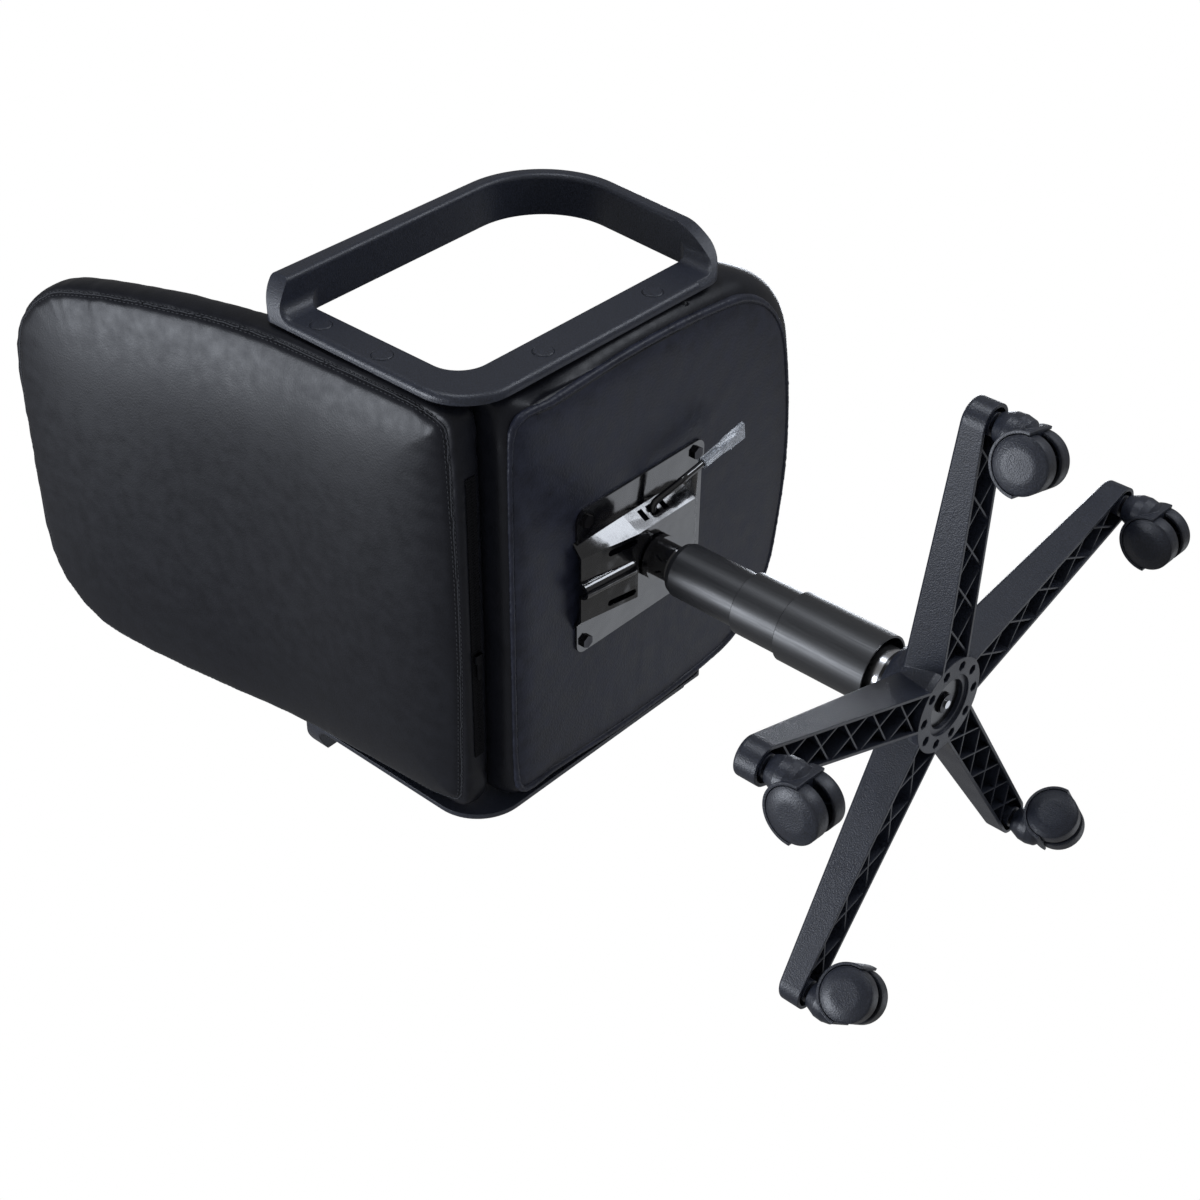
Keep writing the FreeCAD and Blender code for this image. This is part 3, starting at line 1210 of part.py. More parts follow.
def main():
    os.makedirs("parts", exist_ok=True)
    save("star_base", star_base())
    save_casters()
    save("column_tube", column_tube())
    save("guide_bush", guide_bush())
    save_thrust_stack()
    save("piston_rod", piston_rod())
    save("lift_tube", lift_tube())
    save("tube_end_guide", tube_end_guide())
    save("release_button", release_button())
    save("cover_upper", cover_upper())
    save("cover_middle", cover_middle())
    save("cover_lower", cover_lower())
    save("seat_plate", seat_plate())
    save("cylinder_socket", cylinder_socket())
    save("plate_bolts", plate_bolts())
    save("lift_lever", lift_lever())
    save("lever_grip", lever_grip())
    save("seat_frame", seat_frame())
    save("seat_t_nuts", seat_t_nuts())
    save("seat_cushion", seat_cushion())
    save("seat_bottom_cover", seat_bottom_cover())
    save("back_frame", back_frame())
    save("back_t_nuts", back_t_nuts())
    save("back_cushion", back_cushion())
    save("zip_tape", zip_tape())
    save("zip_slider", zip_slider())
    left = arm_left()
    save("arm_left", left)
    save("arm_right", mirrored(left))
    save("arm_bolts", arm_bolts())
    save("arm_caps", arm_caps())


main()
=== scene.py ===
"""Looks of a low-back executive office chair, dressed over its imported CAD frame."""

import json
import math

import bmesh
import bpy
from bpy.props import FloatProperty, FloatVectorProperty, PointerProperty
from mathutils import Matrix, Vector, geometry, noise
from mathutils.bvhtree import BVHTree
from mathutils.kdtree import KDTree


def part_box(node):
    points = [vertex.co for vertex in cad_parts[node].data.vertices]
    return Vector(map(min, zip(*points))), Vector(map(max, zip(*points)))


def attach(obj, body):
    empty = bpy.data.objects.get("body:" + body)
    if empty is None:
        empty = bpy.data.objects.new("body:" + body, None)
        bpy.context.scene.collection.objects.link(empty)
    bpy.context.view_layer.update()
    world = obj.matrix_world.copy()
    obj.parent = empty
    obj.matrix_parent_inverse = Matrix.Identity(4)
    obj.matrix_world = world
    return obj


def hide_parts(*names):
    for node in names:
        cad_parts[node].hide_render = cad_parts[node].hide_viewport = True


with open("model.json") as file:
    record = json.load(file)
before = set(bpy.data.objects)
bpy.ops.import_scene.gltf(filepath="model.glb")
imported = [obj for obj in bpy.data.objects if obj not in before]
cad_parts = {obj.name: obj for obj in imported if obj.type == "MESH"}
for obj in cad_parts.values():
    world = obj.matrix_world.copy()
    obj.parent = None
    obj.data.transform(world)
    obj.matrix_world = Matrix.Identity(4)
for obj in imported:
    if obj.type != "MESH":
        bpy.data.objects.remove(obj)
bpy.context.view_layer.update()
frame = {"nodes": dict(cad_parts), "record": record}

bl_info = {
    "name": "Executive office chair",
    "version": (1, 0, 0),
    "blender": (4, 5, 0),
    "location": "View3D > Sidebar > Chair",
    "description": "Upholsters and finishes the packed frame of an office chair and sets up its studio",
    "category": "Object",
}

NODES = frame["nodes"]
MM = 0.001
LEATHER = "black_leatherette"  # the record's slot for the covers

# The back's middle line in the frame, seen from the side: straight, a lumbar bend, straight again
BACK_LOW_LEAN = math.radians(3.0)
BACK_TOP_LEAN = math.radians(13.0)
BACK_BEND_UP = 183.0 * MM
BACK_BEND_H = 120.0 * MM
BACK_BOXING = 36.0 * MM
BACK_FOOT_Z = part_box("zip_tape")[1].z
BACK_FOOT_Y = (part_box("zip_tape")[0].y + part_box("zip_tape")[1].y) / 2

# Heights and limits read from the frame
SEAT_FLOOR_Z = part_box("seat_bottom_cover")[1].z
PLATE_TOP_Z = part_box("seat_plate")[1].z
RAIL_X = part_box("arm_left")[0].x
SEAT_REAR_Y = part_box("seat_cushion")[1].y
SEAT_TOP_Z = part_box("seat_cushion")[1].z
SEAT_SEAM_Z = SEAT_TOP_Z - 28.0 * MM
SEAM_POINTS = 700
SEAM_HOLD = 4.0 * MM                  # cover held fast on either side of a seam
SEAM_CORD_R = 0.9 * MM
STITCH_LIFT = 0.2 * MM                # stitches off the cover, and seam cords into it
BACK_PUCKERS = (1.0 * MM, 11.0 * MM, 16.0 * MM)  # height, wave and reach off a seam
SEAT_PUCKERS = (1.6 * MM, 12.0 * MM, 16.0 * MM)
SEAT_CORNER = (48.0 * MM, 52.0 * MM)  # rounding of its rear corners, across and along
BACK_CORNER = (46.0 * MM, 40.0 * MM)  # rounding of the back's foot corners, across and up

# The covers over their cores, and their clearances
RAIL_CLEAR = 0.3 * MM      # a cover to an arm
FOOT_CLEAR = 0.1 * MM      # back's cover to the zip's tape
REAR_CLEAR = 0.8 * MM      # back's cover to the seat
REAR_CLEAR_UP = 4.0 * MM   # height above the seat up to which it is kept off
SEAT_REAR_OVER = 0.2 * MM  # most that the seat's cover passes its core's rear
FOOT_HOLD = 3.0 * MM       # cover held fast above its foot
BOARD_COVER = 2.5 * MM     # cover outside the seat's board and battens
BOARD_COVER_UP = 25.0 * MM  # height over the underside up to which it is laid over them
FLOOR_SAG = 1.5 * MM       # most that the seat's cover hangs below its core
BACK_SEAM_IN = 1.0 * MM    # back's seams inside the edges of its boxing

# Photograph's camera: place, the picture's right and down directions, and its lens
CAMERA_AT = Vector((-1175.2, 1282.57, -659.12)) * MM
CAMERA_RIGHT = Vector((-0.00842106, -0.66638537, -0.74555994))
CAMERA_DOWN = Vector((0.80410059, 0.43870466, -0.40119879))
CAMERA_LENS = 63.52
CAMERA_SENSOR = 36.0

COOL = (0.86, 0.91, 1.0)           # lamps a little bluer than the surround
FLOOR_LIFT = (0.5, 0.5, 0.5, 1.0)  # floor's own light, to the eye only
FLOOR_HALF = 6.0
FILL_LEVEL = 0.25                  # the surround's light on the chair
LAMPS_AIM = Vector((0.0, 0.0, 0.5))
# Name, place, size and watts; low and streak are seen in the underside's and the plate's reflections
LAMPS = (
    ("key", (0.2, 2.55, 1.85), 1.1, 58),
    ("side", (-2.5, 0.2, 0.9), 0.5, 16),
    ("low", (1.25, -1.4, -0.76), 0.9, 2),
    ("streak", (-1.75, -1.3, -0.42), 0.7, 14),
    ("front", (0.9, -2.6, 2.0), 1.0, 30),
)


def linear(hex_colour):
    """An sRGB hex colour as linear RGB."""
    channels = [int(hex_colour[i:i + 2], 16) / 255 for i in (1, 3, 5)]
    return tuple(c / 12.92 if c <= 0.04045 else ((c + 0.055) / 1.055) ** 2.4 for c in channels)


def colour(name, description, hex_colour):
    return FloatVectorProperty(
        name=name, description=description, default=linear(hex_colour), subtype="COLOR", min=0, max=1)


def length(name, description, millimetres):
    return FloatProperty(
        name=name, description=description, default=millimetres * MM, unit="LENGTH", min=0, precision=4)


class ChairColours(bpy.types.PropertyGroup):
    """Colours of the chair's finishes"""

    leather: colour("Cover", "PU leather of the seat and the back", "#131419")
    underside: colour("Underside", "Thinner PU leather under the seat", "#181a24")
    thread: colour("Thread", "Polyester sewing thread", "#232428")
    nylon: colour("Nylon", "Moulded arms, base and casters", "#1b1e27")
    sleeve: colour("Sleeves", "Polypropylene sleeves round the gas lift", "#1c1d20")
    paint: colour("Paint", "Gloss paint of the seat plate and the lever", "#0a0a0d")
    grip: colour("Grip", "Clear paddle on the lift lever", "#c9ced6")
    acetal: colour("Guides", "Acetal guide rings inside the lift", "#dcdcd6")
    bright: colour("Bright steel", "Ground steel of the gas lift", "#c8c8ca")
    zinc: colour("Zinc", "Plated bolts, stems and axles", "#3e3e42")
    rubber: colour("Rubber", "Bump stop in the lift", "#141414")
    birch: colour("Plywood", "Boards inside the seat and the back", "#b99a70")
    zip_tape: colour("Zip tape", "Woven polyester tape of the zip", "#0c0c0e")
    zip_metal: colour("Zip metal", "Lacquered slider and pull tab", "#17171a")
    floor: colour("Floor", "Studio floor", "#f4f4f4")


class ChairSizes(bpy.types.PropertyGroup):
    """Sizes of the upholstery and its sewing"""

    voxel: length("Cover mesh", "Mesh size on which a cover swells", 5.0)
    seat_swell: length("Seat swell", "Most that the seat's padding stands proud of its core", 4.0)
    back_swell: length("Back swell", "Most that the back's padding stands proud of its core", 3.5)
    back_fill: length("Back fill", "How far the rear panel stands out over its core at the foot", 7.0)
    back_fill_top: length("Back fill at the top", "The same at the top", 3.0)
    back_fill_width: length("Back fill width", "Width next to the seam over which it rises", 22.0)
    seam_depth: length("Seam depth", "How far a seam draws the cover in", 1.8)
    seam_width: length("Seam width", "Half width of the dip at a seam", 4.0)
    stitch_pitch: length("Stitch pitch", "Spacing of topstitches", 5.2)
    stitch_length: length("Stitch length", "Length of one topstitch", 3.6)
    stitch_inset: length("Stitch inset", "Topstitch row's distance from its seam", 3.2)
    thread: length("Thread", "Thickness of a topstitch", 1.1)
    basting_pitch: length("Basting pitch", "Spacing of the long stitches under the seat's front", 17.0)
    welt: length("Rolled edge", "Thickness of the rolled edge along the seat's lower sides", 9.0)
    fold: length("Folded edge", "Thickness of the same edge at the front and the rear", 5.0)
    tooth_pitch: length("Zip pitch", "Spacing of the zip's teeth", 2.6)


# Materials

MIDDLE = (0.3, 0.7)                          # where most of a noise pattern's values lie
WAVE_CELL = 6.0                              # wave bands to a unit of a wave pattern's scale
EDGE_ROUND = 1.2 * MM                        # rounding of moulded edges, as they take the light
WHEEL_ROUND = 7.0 * MM                       # the same on the domed wheels


def add_node(tree, kind, inputs=None, **settings):
    """Adds a shader node; inputs holds its values, and sockets that are linked to it."""
    node = tree.nodes.new("ShaderNode" + kind)
    for key, value in settings.items():
        setattr(node, key, value)
    for key, value in (inputs or {}).items():
        if isinstance(value, bpy.types.NodeSocket):
            tree.links.new(value, node.inputs[key])
        else:
            node.inputs[key].default_value = value
    return node


def new_material(name):
    """An empty material with its surface shader and coordinates that travel with the piece."""
    material = bpy.data.materials.new(name)
    material.use_nodes = True
    tree = material.node_tree
    tree.nodes.clear()
    shader = add_node(tree, "BsdfPrincipled")
    add_node(tree, "OutputMaterial", {"Surface": shader.outputs["BSDF"]})
    place = add_node(tree, "TexCoord").outputs["Object"]
    return material, tree, shader, place


def set_shader(shader, rgb=None, **values):
    """Sets the shader's plain values and links its patterns; a word's underscores stand for spaces."""
    if rgb is not None:
        shader.inputs["Base Color"].default_value = (*rgb, 1.0)
    for key, value in values.items():
        socket = shader.inputs[key.replace("_", " ")]
        if isinstance(value, bpy.types.NodeSocket):
            shader.id_data.links.new(value, socket)
        else:
            socket.default_value = value


def per_mm(millimetres):
    """Texture scale at which one cell of a pattern has this real size."""
    return 1.0 / (millimetres * MM)


def lifted(rgb, factor):
    """A lighter or darker version of a colour, with its alpha."""
    return (*(min(1.0, c * factor) for c in rgb), 1.0)


def shades(rgb, low, high):
    """Two shades of a colour, between which a pattern mixes."""
    return {"A": lifted(rgb, low), "B": lifted(rgb, high)}


def spread(low, high):
    """The range that the middle of a noise pattern is spread over."""
    return {"From Min": MIDDLE[0], "From Max": MIDDLE[1], "To Min": low, "To Max": high}


def pu_leather(name, rgb, grain_mm, grain, mottle, rough, shine):
    """PU leather, calendered on a grained roll: a soft broad sheen broken by fine pebbles and slack."""
    material, tree, shader, place = new_material(name)
    # Pebbles are under 1 mm on the real cover and are drawn coarser, so that they show
    pebble = add_node(tree, "TexVoronoi", {"Vector": place, "Scale": per_mm(grain_mm)}, feature="SMOOTH_F1")
    slack = add_node(tree, "TexNoise", {"Vector": place, "Scale": per_mm(38.0), "Detail": 4.0})
    cloud = add_node(tree, "TexNoise", {"Vector": place, "Scale": per_mm(14.0), "Detail": 6.0})
    low = add_node(tree, "Bump", {"Height": slack.outputs["Fac"], "Strength": 0.06, "Distance": 4 * MM})
    bump = add_node(tree, "Bump", {"Height": pebble.outputs["Distance"], "Strength": grain,
                                             "Distance": 0.5 * MM, "Normal": low.outputs["Normal"]})
    tone = add_node(tree, "MapRange", {"Value": cloud.outputs["Fac"], **spread(0.0, mottle)})
    cover = add_node(tree, "Mix",
                     {"Factor": tone.outputs["Result"], **shades(rgb, 1.0, 2.2)}, data_type="RGBA")
    sheen = add_node(tree, "MapRange",
                     {"Value": cloud.outputs["Fac"], **spread(rough - 0.04, rough + 0.06)})
    set_shader(shader, Base_Color=cover.outputs["Result"], Roughness=sheen.outputs["Result"],
               Normal=bump.outputs["Normal"], IOR=1.5, Specular_IOR_Level=shine)
    return material


def moulded_nylon(name, rgb, rounding):
    """Glass-filled nylon moulded in a spark-eroded tool: matt and soft-edged, with fine grit."""
    material, tree, shader, place = new_material(name)
    edges = add_node(tree, "Bevel", {"Radius": rounding})
    # The tool's grit is about 0.3 mm and is drawn coarser, so that it shows
    grit = add_node(tree, "TexNoise", {"Vector": place, "Scale": per_mm(1.3), "Detail": 3.0})
    flow = add_node(tree, "TexNoise", {"Vector": place, "Scale": per_mm(45.0), "Detail": 3.0})
    bump = add_node(tree, "Bump", {"Height": grit.outputs["Fac"], "Strength": 0.8,
                                             "Distance": 0.4 * MM, "Normal": edges.outputs["Normal"]})
    tone = add_node(tree, "MapRange", {"Value": grit.outputs["Fac"], **spread(0.0, 1.0)})
    skin = add_node(tree, "Mix",
                    {"Factor": tone.outputs["Result"], **shades(rgb, 0.7, 2.0)}, data_type="RGBA")
    matt = add_node(tree, "MapRange", {"Value": flow.outputs["Fac"], **spread(0.34, 0.44)})
    set_shader(shader, Base_Color=skin.outputs["Result"], Roughness=matt.outputs["Result"],
               Normal=bump.outputs["Normal"], IOR=1.53, Specular_IOR_Level=0.5)
    return material


def satin_polypropylene(name, rgb):
    """Polypropylene sleeves from a polished tool: satin, with faint drag lines along the draw."""
    material, tree, shader, place = new_material(name)
    stretch = add_node(tree, "Mapping", {"Vector": place, "Scale": (1.0, 1.0, 0.04)})
    drag = add_node(tree, "TexNoise",
                    {"Vector": stretch.outputs["Vector"], "Scale": per_mm(1.5), "Detail": 2.0})
    satin = add_node(tree, "MapRange", {"Value": drag.outputs["Fac"], **spread(0.36, 0.46)})
    tint = add_node(tree, "Mix",
                    {"Factor": drag.outputs["Fac"], **shades(rgb, 0.8, 1.3)}, data_type="RGBA")
    set_shader(shader, Base_Color=tint.outputs["Result"], Roughness=satin.outputs["Result"], IOR=1.49,
               Specular_IOR_Level=0.8)
    return material


def gloss_paint(name, rgb):
    """Baked gloss paint on pressed sheet: mirror-like, with the slow ripple that pressing leaves."""
    material, tree, shader, place = new_material(name)
    ripple = add_node(tree, "TexNoise", {"Vector": place, "Scale": per_mm(30.0), "Detail": 1.5})
    peel = add_node(tree, "TexNoise", {"Vector": place, "Scale": per_mm(2.0), "Detail": 2.0})
    low = add_node(tree, "Bump", {"Height": ripple.outputs["Fac"], "Strength": 0.35, "Distance": 4 * MM})
    bump = add_node(tree, "Bump", {"Height": peel.outputs["Fac"], "Strength": 0.05,
                                             "Distance": 0.3 * MM, "Normal": low.outputs["Normal"]})
    gloss = add_node(tree, "MapRange", {"Value": peel.outputs["Fac"], **spread(0.08, 0.15)})
    set_shader(shader, rgb, Roughness=gloss.outputs["Result"], Normal=bump.outputs["Normal"], IOR=1.6,
               Coat_Weight=0.6, Coat_Roughness=0.06)
    return material


def bare_steel(name, rgb, line_mm, rough):
    """Steel with fine turning or plating lines, which spread its reflections a little."""
    material, tree, shader, place = new_material(name)
    stretch = add_node(tree, "Mapping", {"Vector": place, "Scale": (0.1, 0.1, 1.0)})
    lines = add_node(tree, "TexNoise",
                     {"Vector": stretch.outputs["Vector"], "Scale": per_mm(line_mm), "Detail": 3.0})
    ground = add_node(tree, "MapRange",
                      {"Value": lines.outputs["Fac"], **spread(rough - 0.05, rough + 0.08)})
    set_shader(shader, rgb, Roughness=ground.outputs["Result"], Metallic=1.0)
    return material


def painted_column(name, paint, bright):
    """Gas-lift column: painted black, with the ground ring that shows between the hub and the sleeves."""
    material, tree, shader, place = new_material(name)
    height = add_node(tree, "SeparateXYZ", {"Vector": place})
    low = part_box("cover_lower")[0].z - 8 * MM
    ring = add_node(tree, "MapRange",
                    {"Value": height.outputs["Z"], "From Min": low - 2 * MM, "From Max": low - 1 * MM})
    skin = add_node(tree, "Mix", {"Factor": ring.outputs["Result"], "A": lifted(paint, 1.0),
                                            "B": lifted(bright, 1.0)}, data_type="RGBA")
    set_shader(shader, Base_Color=skin.outputs["Result"], Metallic=ring.outputs["Result"], Roughness=0.25)
    return material


def clear_polystyrene(name, rgb):
    """Clear moulded paddle with a rough inner face: bright edges, cloudy middle."""
    material, tree, shader, place = new_material(name)
    cloud = add_node(tree, "TexNoise", {"Vector": place, "Scale": per_mm(4.0), "Detail": 3.0})
    frost = add_node(tree, "MapRange", {"Value": cloud.outputs["Fac"], **spread(0.10, 0.30)})
    set_shader(shader, rgb, Roughness=frost.outputs["Result"], IOR=1.59, Transmission_Weight=0.75)
    return material


def soft_solid(name, rgb, rough, grain_mm):
    """Dull moulded rubber or acetal with a faint cloud in its surface."""
    material, tree, shader, place = new_material(name)
    cloud = add_node(tree, "TexNoise", {"Vector": place, "Scale": per_mm(grain_mm), "Detail": 3.0})
    dull = add_node(tree, "MapRange",
                    {"Value": cloud.outputs["Fac"], **spread(rough - 0.05, rough + 0.05)})
    tint = add_node(tree, "Mix",
                    {"Factor": cloud.outputs["Fac"], **shades(rgb, 0.9, 1.2)}, data_type="RGBA")
    set_shader(shader, Base_Color=tint.outputs["Result"], Roughness=dull.outputs["Result"])
    return material


def birch_plywood(name, rgb):
    """Raw rotary-cut birch: pale, with long soft grain."""
    material, tree, shader, place = new_material(name)
    stretch = add_node(tree, "Mapping", {"Vector": place, "Scale": (1.0, 0.06, 1.0)})
    grain = add_node(tree, "TexNoise",
                     {"Vector": stretch.outputs["Vector"], "Scale": per_mm(6.0), "Detail": 5.0})
    veneer = add_node(tree, "Mix",
                      {"Factor": grain.outputs["Fac"], **shades(rgb, 1.1, 0.7)}, data_type="RGBA")
    set_shader(shader, Base_Color=veneer.outputs["Result"], Roughness=0.75)
    return material


def woven_tape(name, rgb):
    """Woven polyester: fine crosswise ribs, nearly without shine."""
    material, tree, shader, place = new_material(name)
    ribs = add_node(tree, "TexWave", {"Vector": place, "Scale": per_mm(1.6) / WAVE_CELL}, bands_direction="X")
    bump = add_node(tree, "Bump", {"Height": ribs.outputs["Fac"], "Strength": 0.5, "Distance": 0.3 * MM})
    tint = add_node(tree, "Mix",
                    {"Factor": ribs.outputs["Fac"], **shades(rgb, 1.0, 1.8)}, data_type="RGBA")
    set_shader(shader, Base_Color=tint.outputs["Result"], Normal=bump.outputs["Normal"], Roughness=0.8,
               Specular_IOR_Level=0.1)
    return material


def sewing_thread(name, rgb):
    """Twisted polyester thread: dull, with a slanting ply."""
    material, tree, shader, place = new_material(name)
    ply = add_node(tree, "TexWave", {"Vector": place, "Scale": per_mm(1.0) / WAVE_CELL},
                   bands_direction="DIAGONAL")
    tint = add_node(tree, "Mix",
                    {"Factor": ply.outputs["Fac"], **shades(rgb, 1.0, 1.6)}, data_type="RGBA")
    set_shader(shader, Base_Color=tint.outputs["Result"], Roughness=0.6, Specular_IOR_Level=0.3)
    return material


def finish_for(slot_name):
    """The material of one of the record's slots, made once."""
    colours = bpy.context.scene.chair_colours
    finishes = {
        LEATHER: ("PU leather", lambda n: pu_leather(n, colours.leather, 1.8, 0.14, 0.25, 0.38, 0.22)),
        "black_nylon": ("Moulded nylon", lambda n: moulded_nylon(n, colours.nylon, EDGE_ROUND)),
        "black_sleeve_plastic": ("Satin polypropylene", lambda n: satin_polypropylene(n, colours.sleeve)),
        "clear_grip_plastic": ("Clear polystyrene", lambda n: clear_polystyrene(n, colours.grip)),
        "guide_plastic": ("Acetal", lambda n: soft_solid(n, colours.acetal, 0.4, 3.0)),
        "black_painted_steel": ("Gloss paint on pressed steel", lambda n: gloss_paint(n, colours.paint)),
        "bright_steel": ("Ground steel", lambda n: bare_steel(n, colours.bright, 0.6, 0.16)),
        "zinc_steel": ("Zinc-plated steel", lambda n: bare_steel(n, colours.zinc, 1.2, 0.34)),
        "bumper_rubber": ("Rubber", lambda n: soft_solid(n, colours.rubber, 0.7, 2.0)),
        "plywood": ("Birch plywood", lambda n: birch_plywood(n, colours.birch)),
        "zip_tape_fabric": ("Woven polyester tape", lambda n: woven_tape(n, colours.zip_tape)),
        "zip_metal": ("Lacquered zinc", lambda n: bare_steel(n, colours.zip_metal, 0.8, 0.4)),
    }
    name, make = finishes[slot_name]
    return bpy.data.materials.get(name) or make(name)


def dress(name, material):
    """Gives one CAD node a material."""
    for holder in NODES[name].material_slots:
        holder.material = material


def finish_nodes(names):
    """Gives CAD nodes the material of their slot."""
    slots = {part["node"]: part["material_slot"] for part in frame["record"]["subparts"]}
    for name in names:
        dress(name, finish_for(slots[name]))


def nodes_named(*starts):
    return [name for name in sorted(NODES) if name.startswith(starts)]


# Meshes

def new_piece(name, mesh, body, material):
    """A smooth-shaded object for a mesh, riding on a CAD body."""
    mesh.shade_smooth()
    mesh.materials.clear()
    mesh.materials.append(material)
    piece = bpy.data.objects.new(name, mesh)
    bpy.context.scene.collection.objects.link(piece)
    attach(piece, body)
    return piece


def mesh_from(name, verts, faces):
    mesh = bpy.data.meshes.new(name)
    mesh.from_pydata([tuple(v) for v in verts], [], faces)
    mesh.update()
    return mesh


def with_modifiers(piece):
    """The piece's mesh with its modifiers applied."""
    graph = bpy.context.evaluated_depsgraph_get()
    return bpy.data.meshes.new_from_object(piece.evaluated_get(graph))


def settle(piece):
    """Applies the piece's modifiers to its own mesh."""
    mesh = with_modifiers(piece)
    piece.modifiers.clear()
    piece.data = mesh


def filled_shell(name, nodes, voxel):
    """One closed skin round several CAD nodes: the padding and the boards inside it."""
    soup = bmesh.new()
    for node in nodes:
        soup.from_mesh(NODES[node].data)
    bmesh.ops.remove_doubles(soup, verts=soup.verts, dist=0.02 * MM)
    mesh = bpy.data.meshes.new(name)
    soup.to_mesh(mesh)
    soup.free()
    shell = bpy.data.objects.new(name, mesh)
    bpy.context.scene.collection.objects.link(shell)
    remesh = shell.modifiers.new("skin", "REMESH")
    remesh.mode = "VOXEL"
    remesh.voxel_size = voxel
    settle(shell)
    keep_largest(shell.data)
    return shell


def keep_largest(mesh):
    """Deletes all but the largest connected part of a mesh."""
    bm = bmesh.new()
    bm.from_mesh(mesh)
    left = set(bm.verts)
    parts = []
    while left:
        found = {left.pop()}
        edge = list(found)
        while edge:
            near = {e.other_vert(v) for v in edge for e in v.link_edges} - found
            found |= near
            edge = list(near)
        left -= found
        parts.append(found)
    parts.sort(key=len)
    for part in parts[:-1]:
        bmesh.ops.delete(bm, geom=list(part), context="VERTS")
    bm.to_mesh(mesh)
    bm.free()


def relax(mesh, rounds):
    """Evens out the steps that the voxels leave."""
    bm = bmesh.new()
    bm.from_mesh(mesh)
    for _ in range(rounds):
        bmesh.ops.smooth_vert(
            bm, verts=bm.verts, factor=0.5, use_axis_x=True, use_axis_y=True, use_axis_z=True)
    bm.to_mesh(mesh)
    bm.free()


def wrap(mesh, nodes, top, off):
    """Lays the skin below a height outside the CAD nodes that it went into or came close to."""
    soup = bmesh.new()
    for node in nodes:
        soup.from_mesh(NODES[node].data)
    hard = BVHTree.FromBMesh(soup)
    soup.free()
    for vertex in mesh.vertices:
        if vertex.co.z < top:
            spot, normal, _, away = hard.find_nearest(vertex.co)
            if away < off or (vertex.co - spot).dot(normal) < 0:
                vertex.co = spot + normal * off


def eased(value, limit, knee=5 * MM):
    """The value held below a limit, which it nears softly."""
    over = value - (limit - knee)
    return value if over <= 0 else limit - knee * math.exp(-over / knee)


def between_rails(x):
    """A place across the chair held between the two arms."""
    return math.copysign(eased(abs(x), RAIL_X - RAIL_CLEAR), x)


def square_off(points, axes, centre, radii, power=6.0):
    """Draws a rounded corner out towards a square one; the radii point from its centre to the corner."""
    a, b = axes
    for point in points:
        u = (point[a] - centre[0]) / radii[0]
        v = (point[b] - centre[1]) / radii[1]
        if u > 0 and v > 0:
            out = math.hypot(u, v) / (u ** power + v ** power) ** (1 / power)
            point[a] = centre[0] + u * out * radii[0]
            point[b] = centre[1] + v * out * radii[1]


def square_seat(points):
    """Draws out the two rear corners of the seat's plan."""
    wide = max(p.x for p in points)
    rear = max(p.y for p in points)
    across, along = SEAT_CORNER
    for side in (1, -1):
        square_off(points, (0, 1), (side * (wide - across), rear - along), (side * across, along))


def swell(piece, held, cap, pressure=4.0, frames=20):
    """Blows the cover up like a stuffed one; held vertices stay and no other moves further than cap."""
    rest = [v.co.copy() for v in piece.data.vertices]
    group = piece.vertex_groups.new(name="held")
    group.add(held, 1.0, "REPLACE")
    cloth = piece.modifiers.new("swell", "CLOTH")
    cloth.settings.vertex_group_mass = group.name
    cloth.settings.use_pressure = True
    cloth.settings.uniform_pressure_force = pressure
    cloth.settings.effector_weights.gravity = 0.0
    scene = bpy.context.scene
    for number in range(1, frames + 1):
        scene.frame_set(number)
    settle(piece)
    for vertex, start in zip(piece.data.vertices, rest):
        move = vertex.co - start
        if move.length > cap:
            vertex.co = start + move * (cap / move.length)
    scene.frame_set(1)
    piece.vertex_groups.clear()


def subdivide(piece):
    piece.modifiers.new("finer", "SUBSURF").levels = 1
    settle(piece)


def evenly(points, count, closed=True):
    """Points at equal steps along a path."""
    path = points + points[:1] if closed else points
    reach = [0.0]
    for a, b in zip(path, path[1:]):
        reach.append(reach[-1] + (b - a).length)
    steps = count if closed else count - 1
    out, k = [], 0
    for i in range(count):
        want = reach[-1] * i / steps
        while k < len(path) - 2 and reach[k + 1] < want:
            k += 1
        span = max(reach[k + 1] - reach[k], 1e-9)
        out.append(path[k].lerp(path[k + 1], (want - reach[k]) / span))
    return out


def smoothed(loop, rounds):
    for _ in range(rounds):
        loop = [(loop[i - 1] + loop[i] * 2 + loop[(i + 1) % len(loop)]) / 4 for i in range(len(loop))]
    return loop


def outline_at(mesh, point, normal, count):
    """Evenly spaced points round the outline where a plane cuts a mesh with a bulging outline."""
    bm = bmesh.new()
    bm.from_mesh(mesh)
    everything = bm.verts[:] + bm.edges[:] + bm.faces[:]
    cut = bmesh.ops.bisect_plane(bm, geom=everything, plane_co=point, plane_no=normal)["geom_cut"]
    points = [v.co.copy() for v in cut if isinstance(v, bmesh.types.BMVert)]
    bm.free()
    across = Vector((1, 0, 0))
    up = normal.cross(across)
    order = geometry.convex_hull_2d([(p.dot(across), p.dot(up)) for p in points])
    return smoothed(evenly([points[i] for i in order], count), 6)


def tree_of(mesh):
    return BVHTree.FromPolygons([v.co for v in mesh.vertices], [p.vertices for p in mesh.polygons])


def drawn_in(loop, normal, inset):
    """The loop moved towards its middle, in its own plane."""
    middle = sum(loop, Vector()) / len(loop)
    moved = []
    for i, point in enumerate(loop):
        along = (loop[(i + 1) % len(loop)] - loop[i - 1]).normalized()
        inward = normal.cross(along).normalized()
        if inward.dot(middle - point) < 0:
            inward = -inward
        moved.append(point + inward * inset)
    return moved


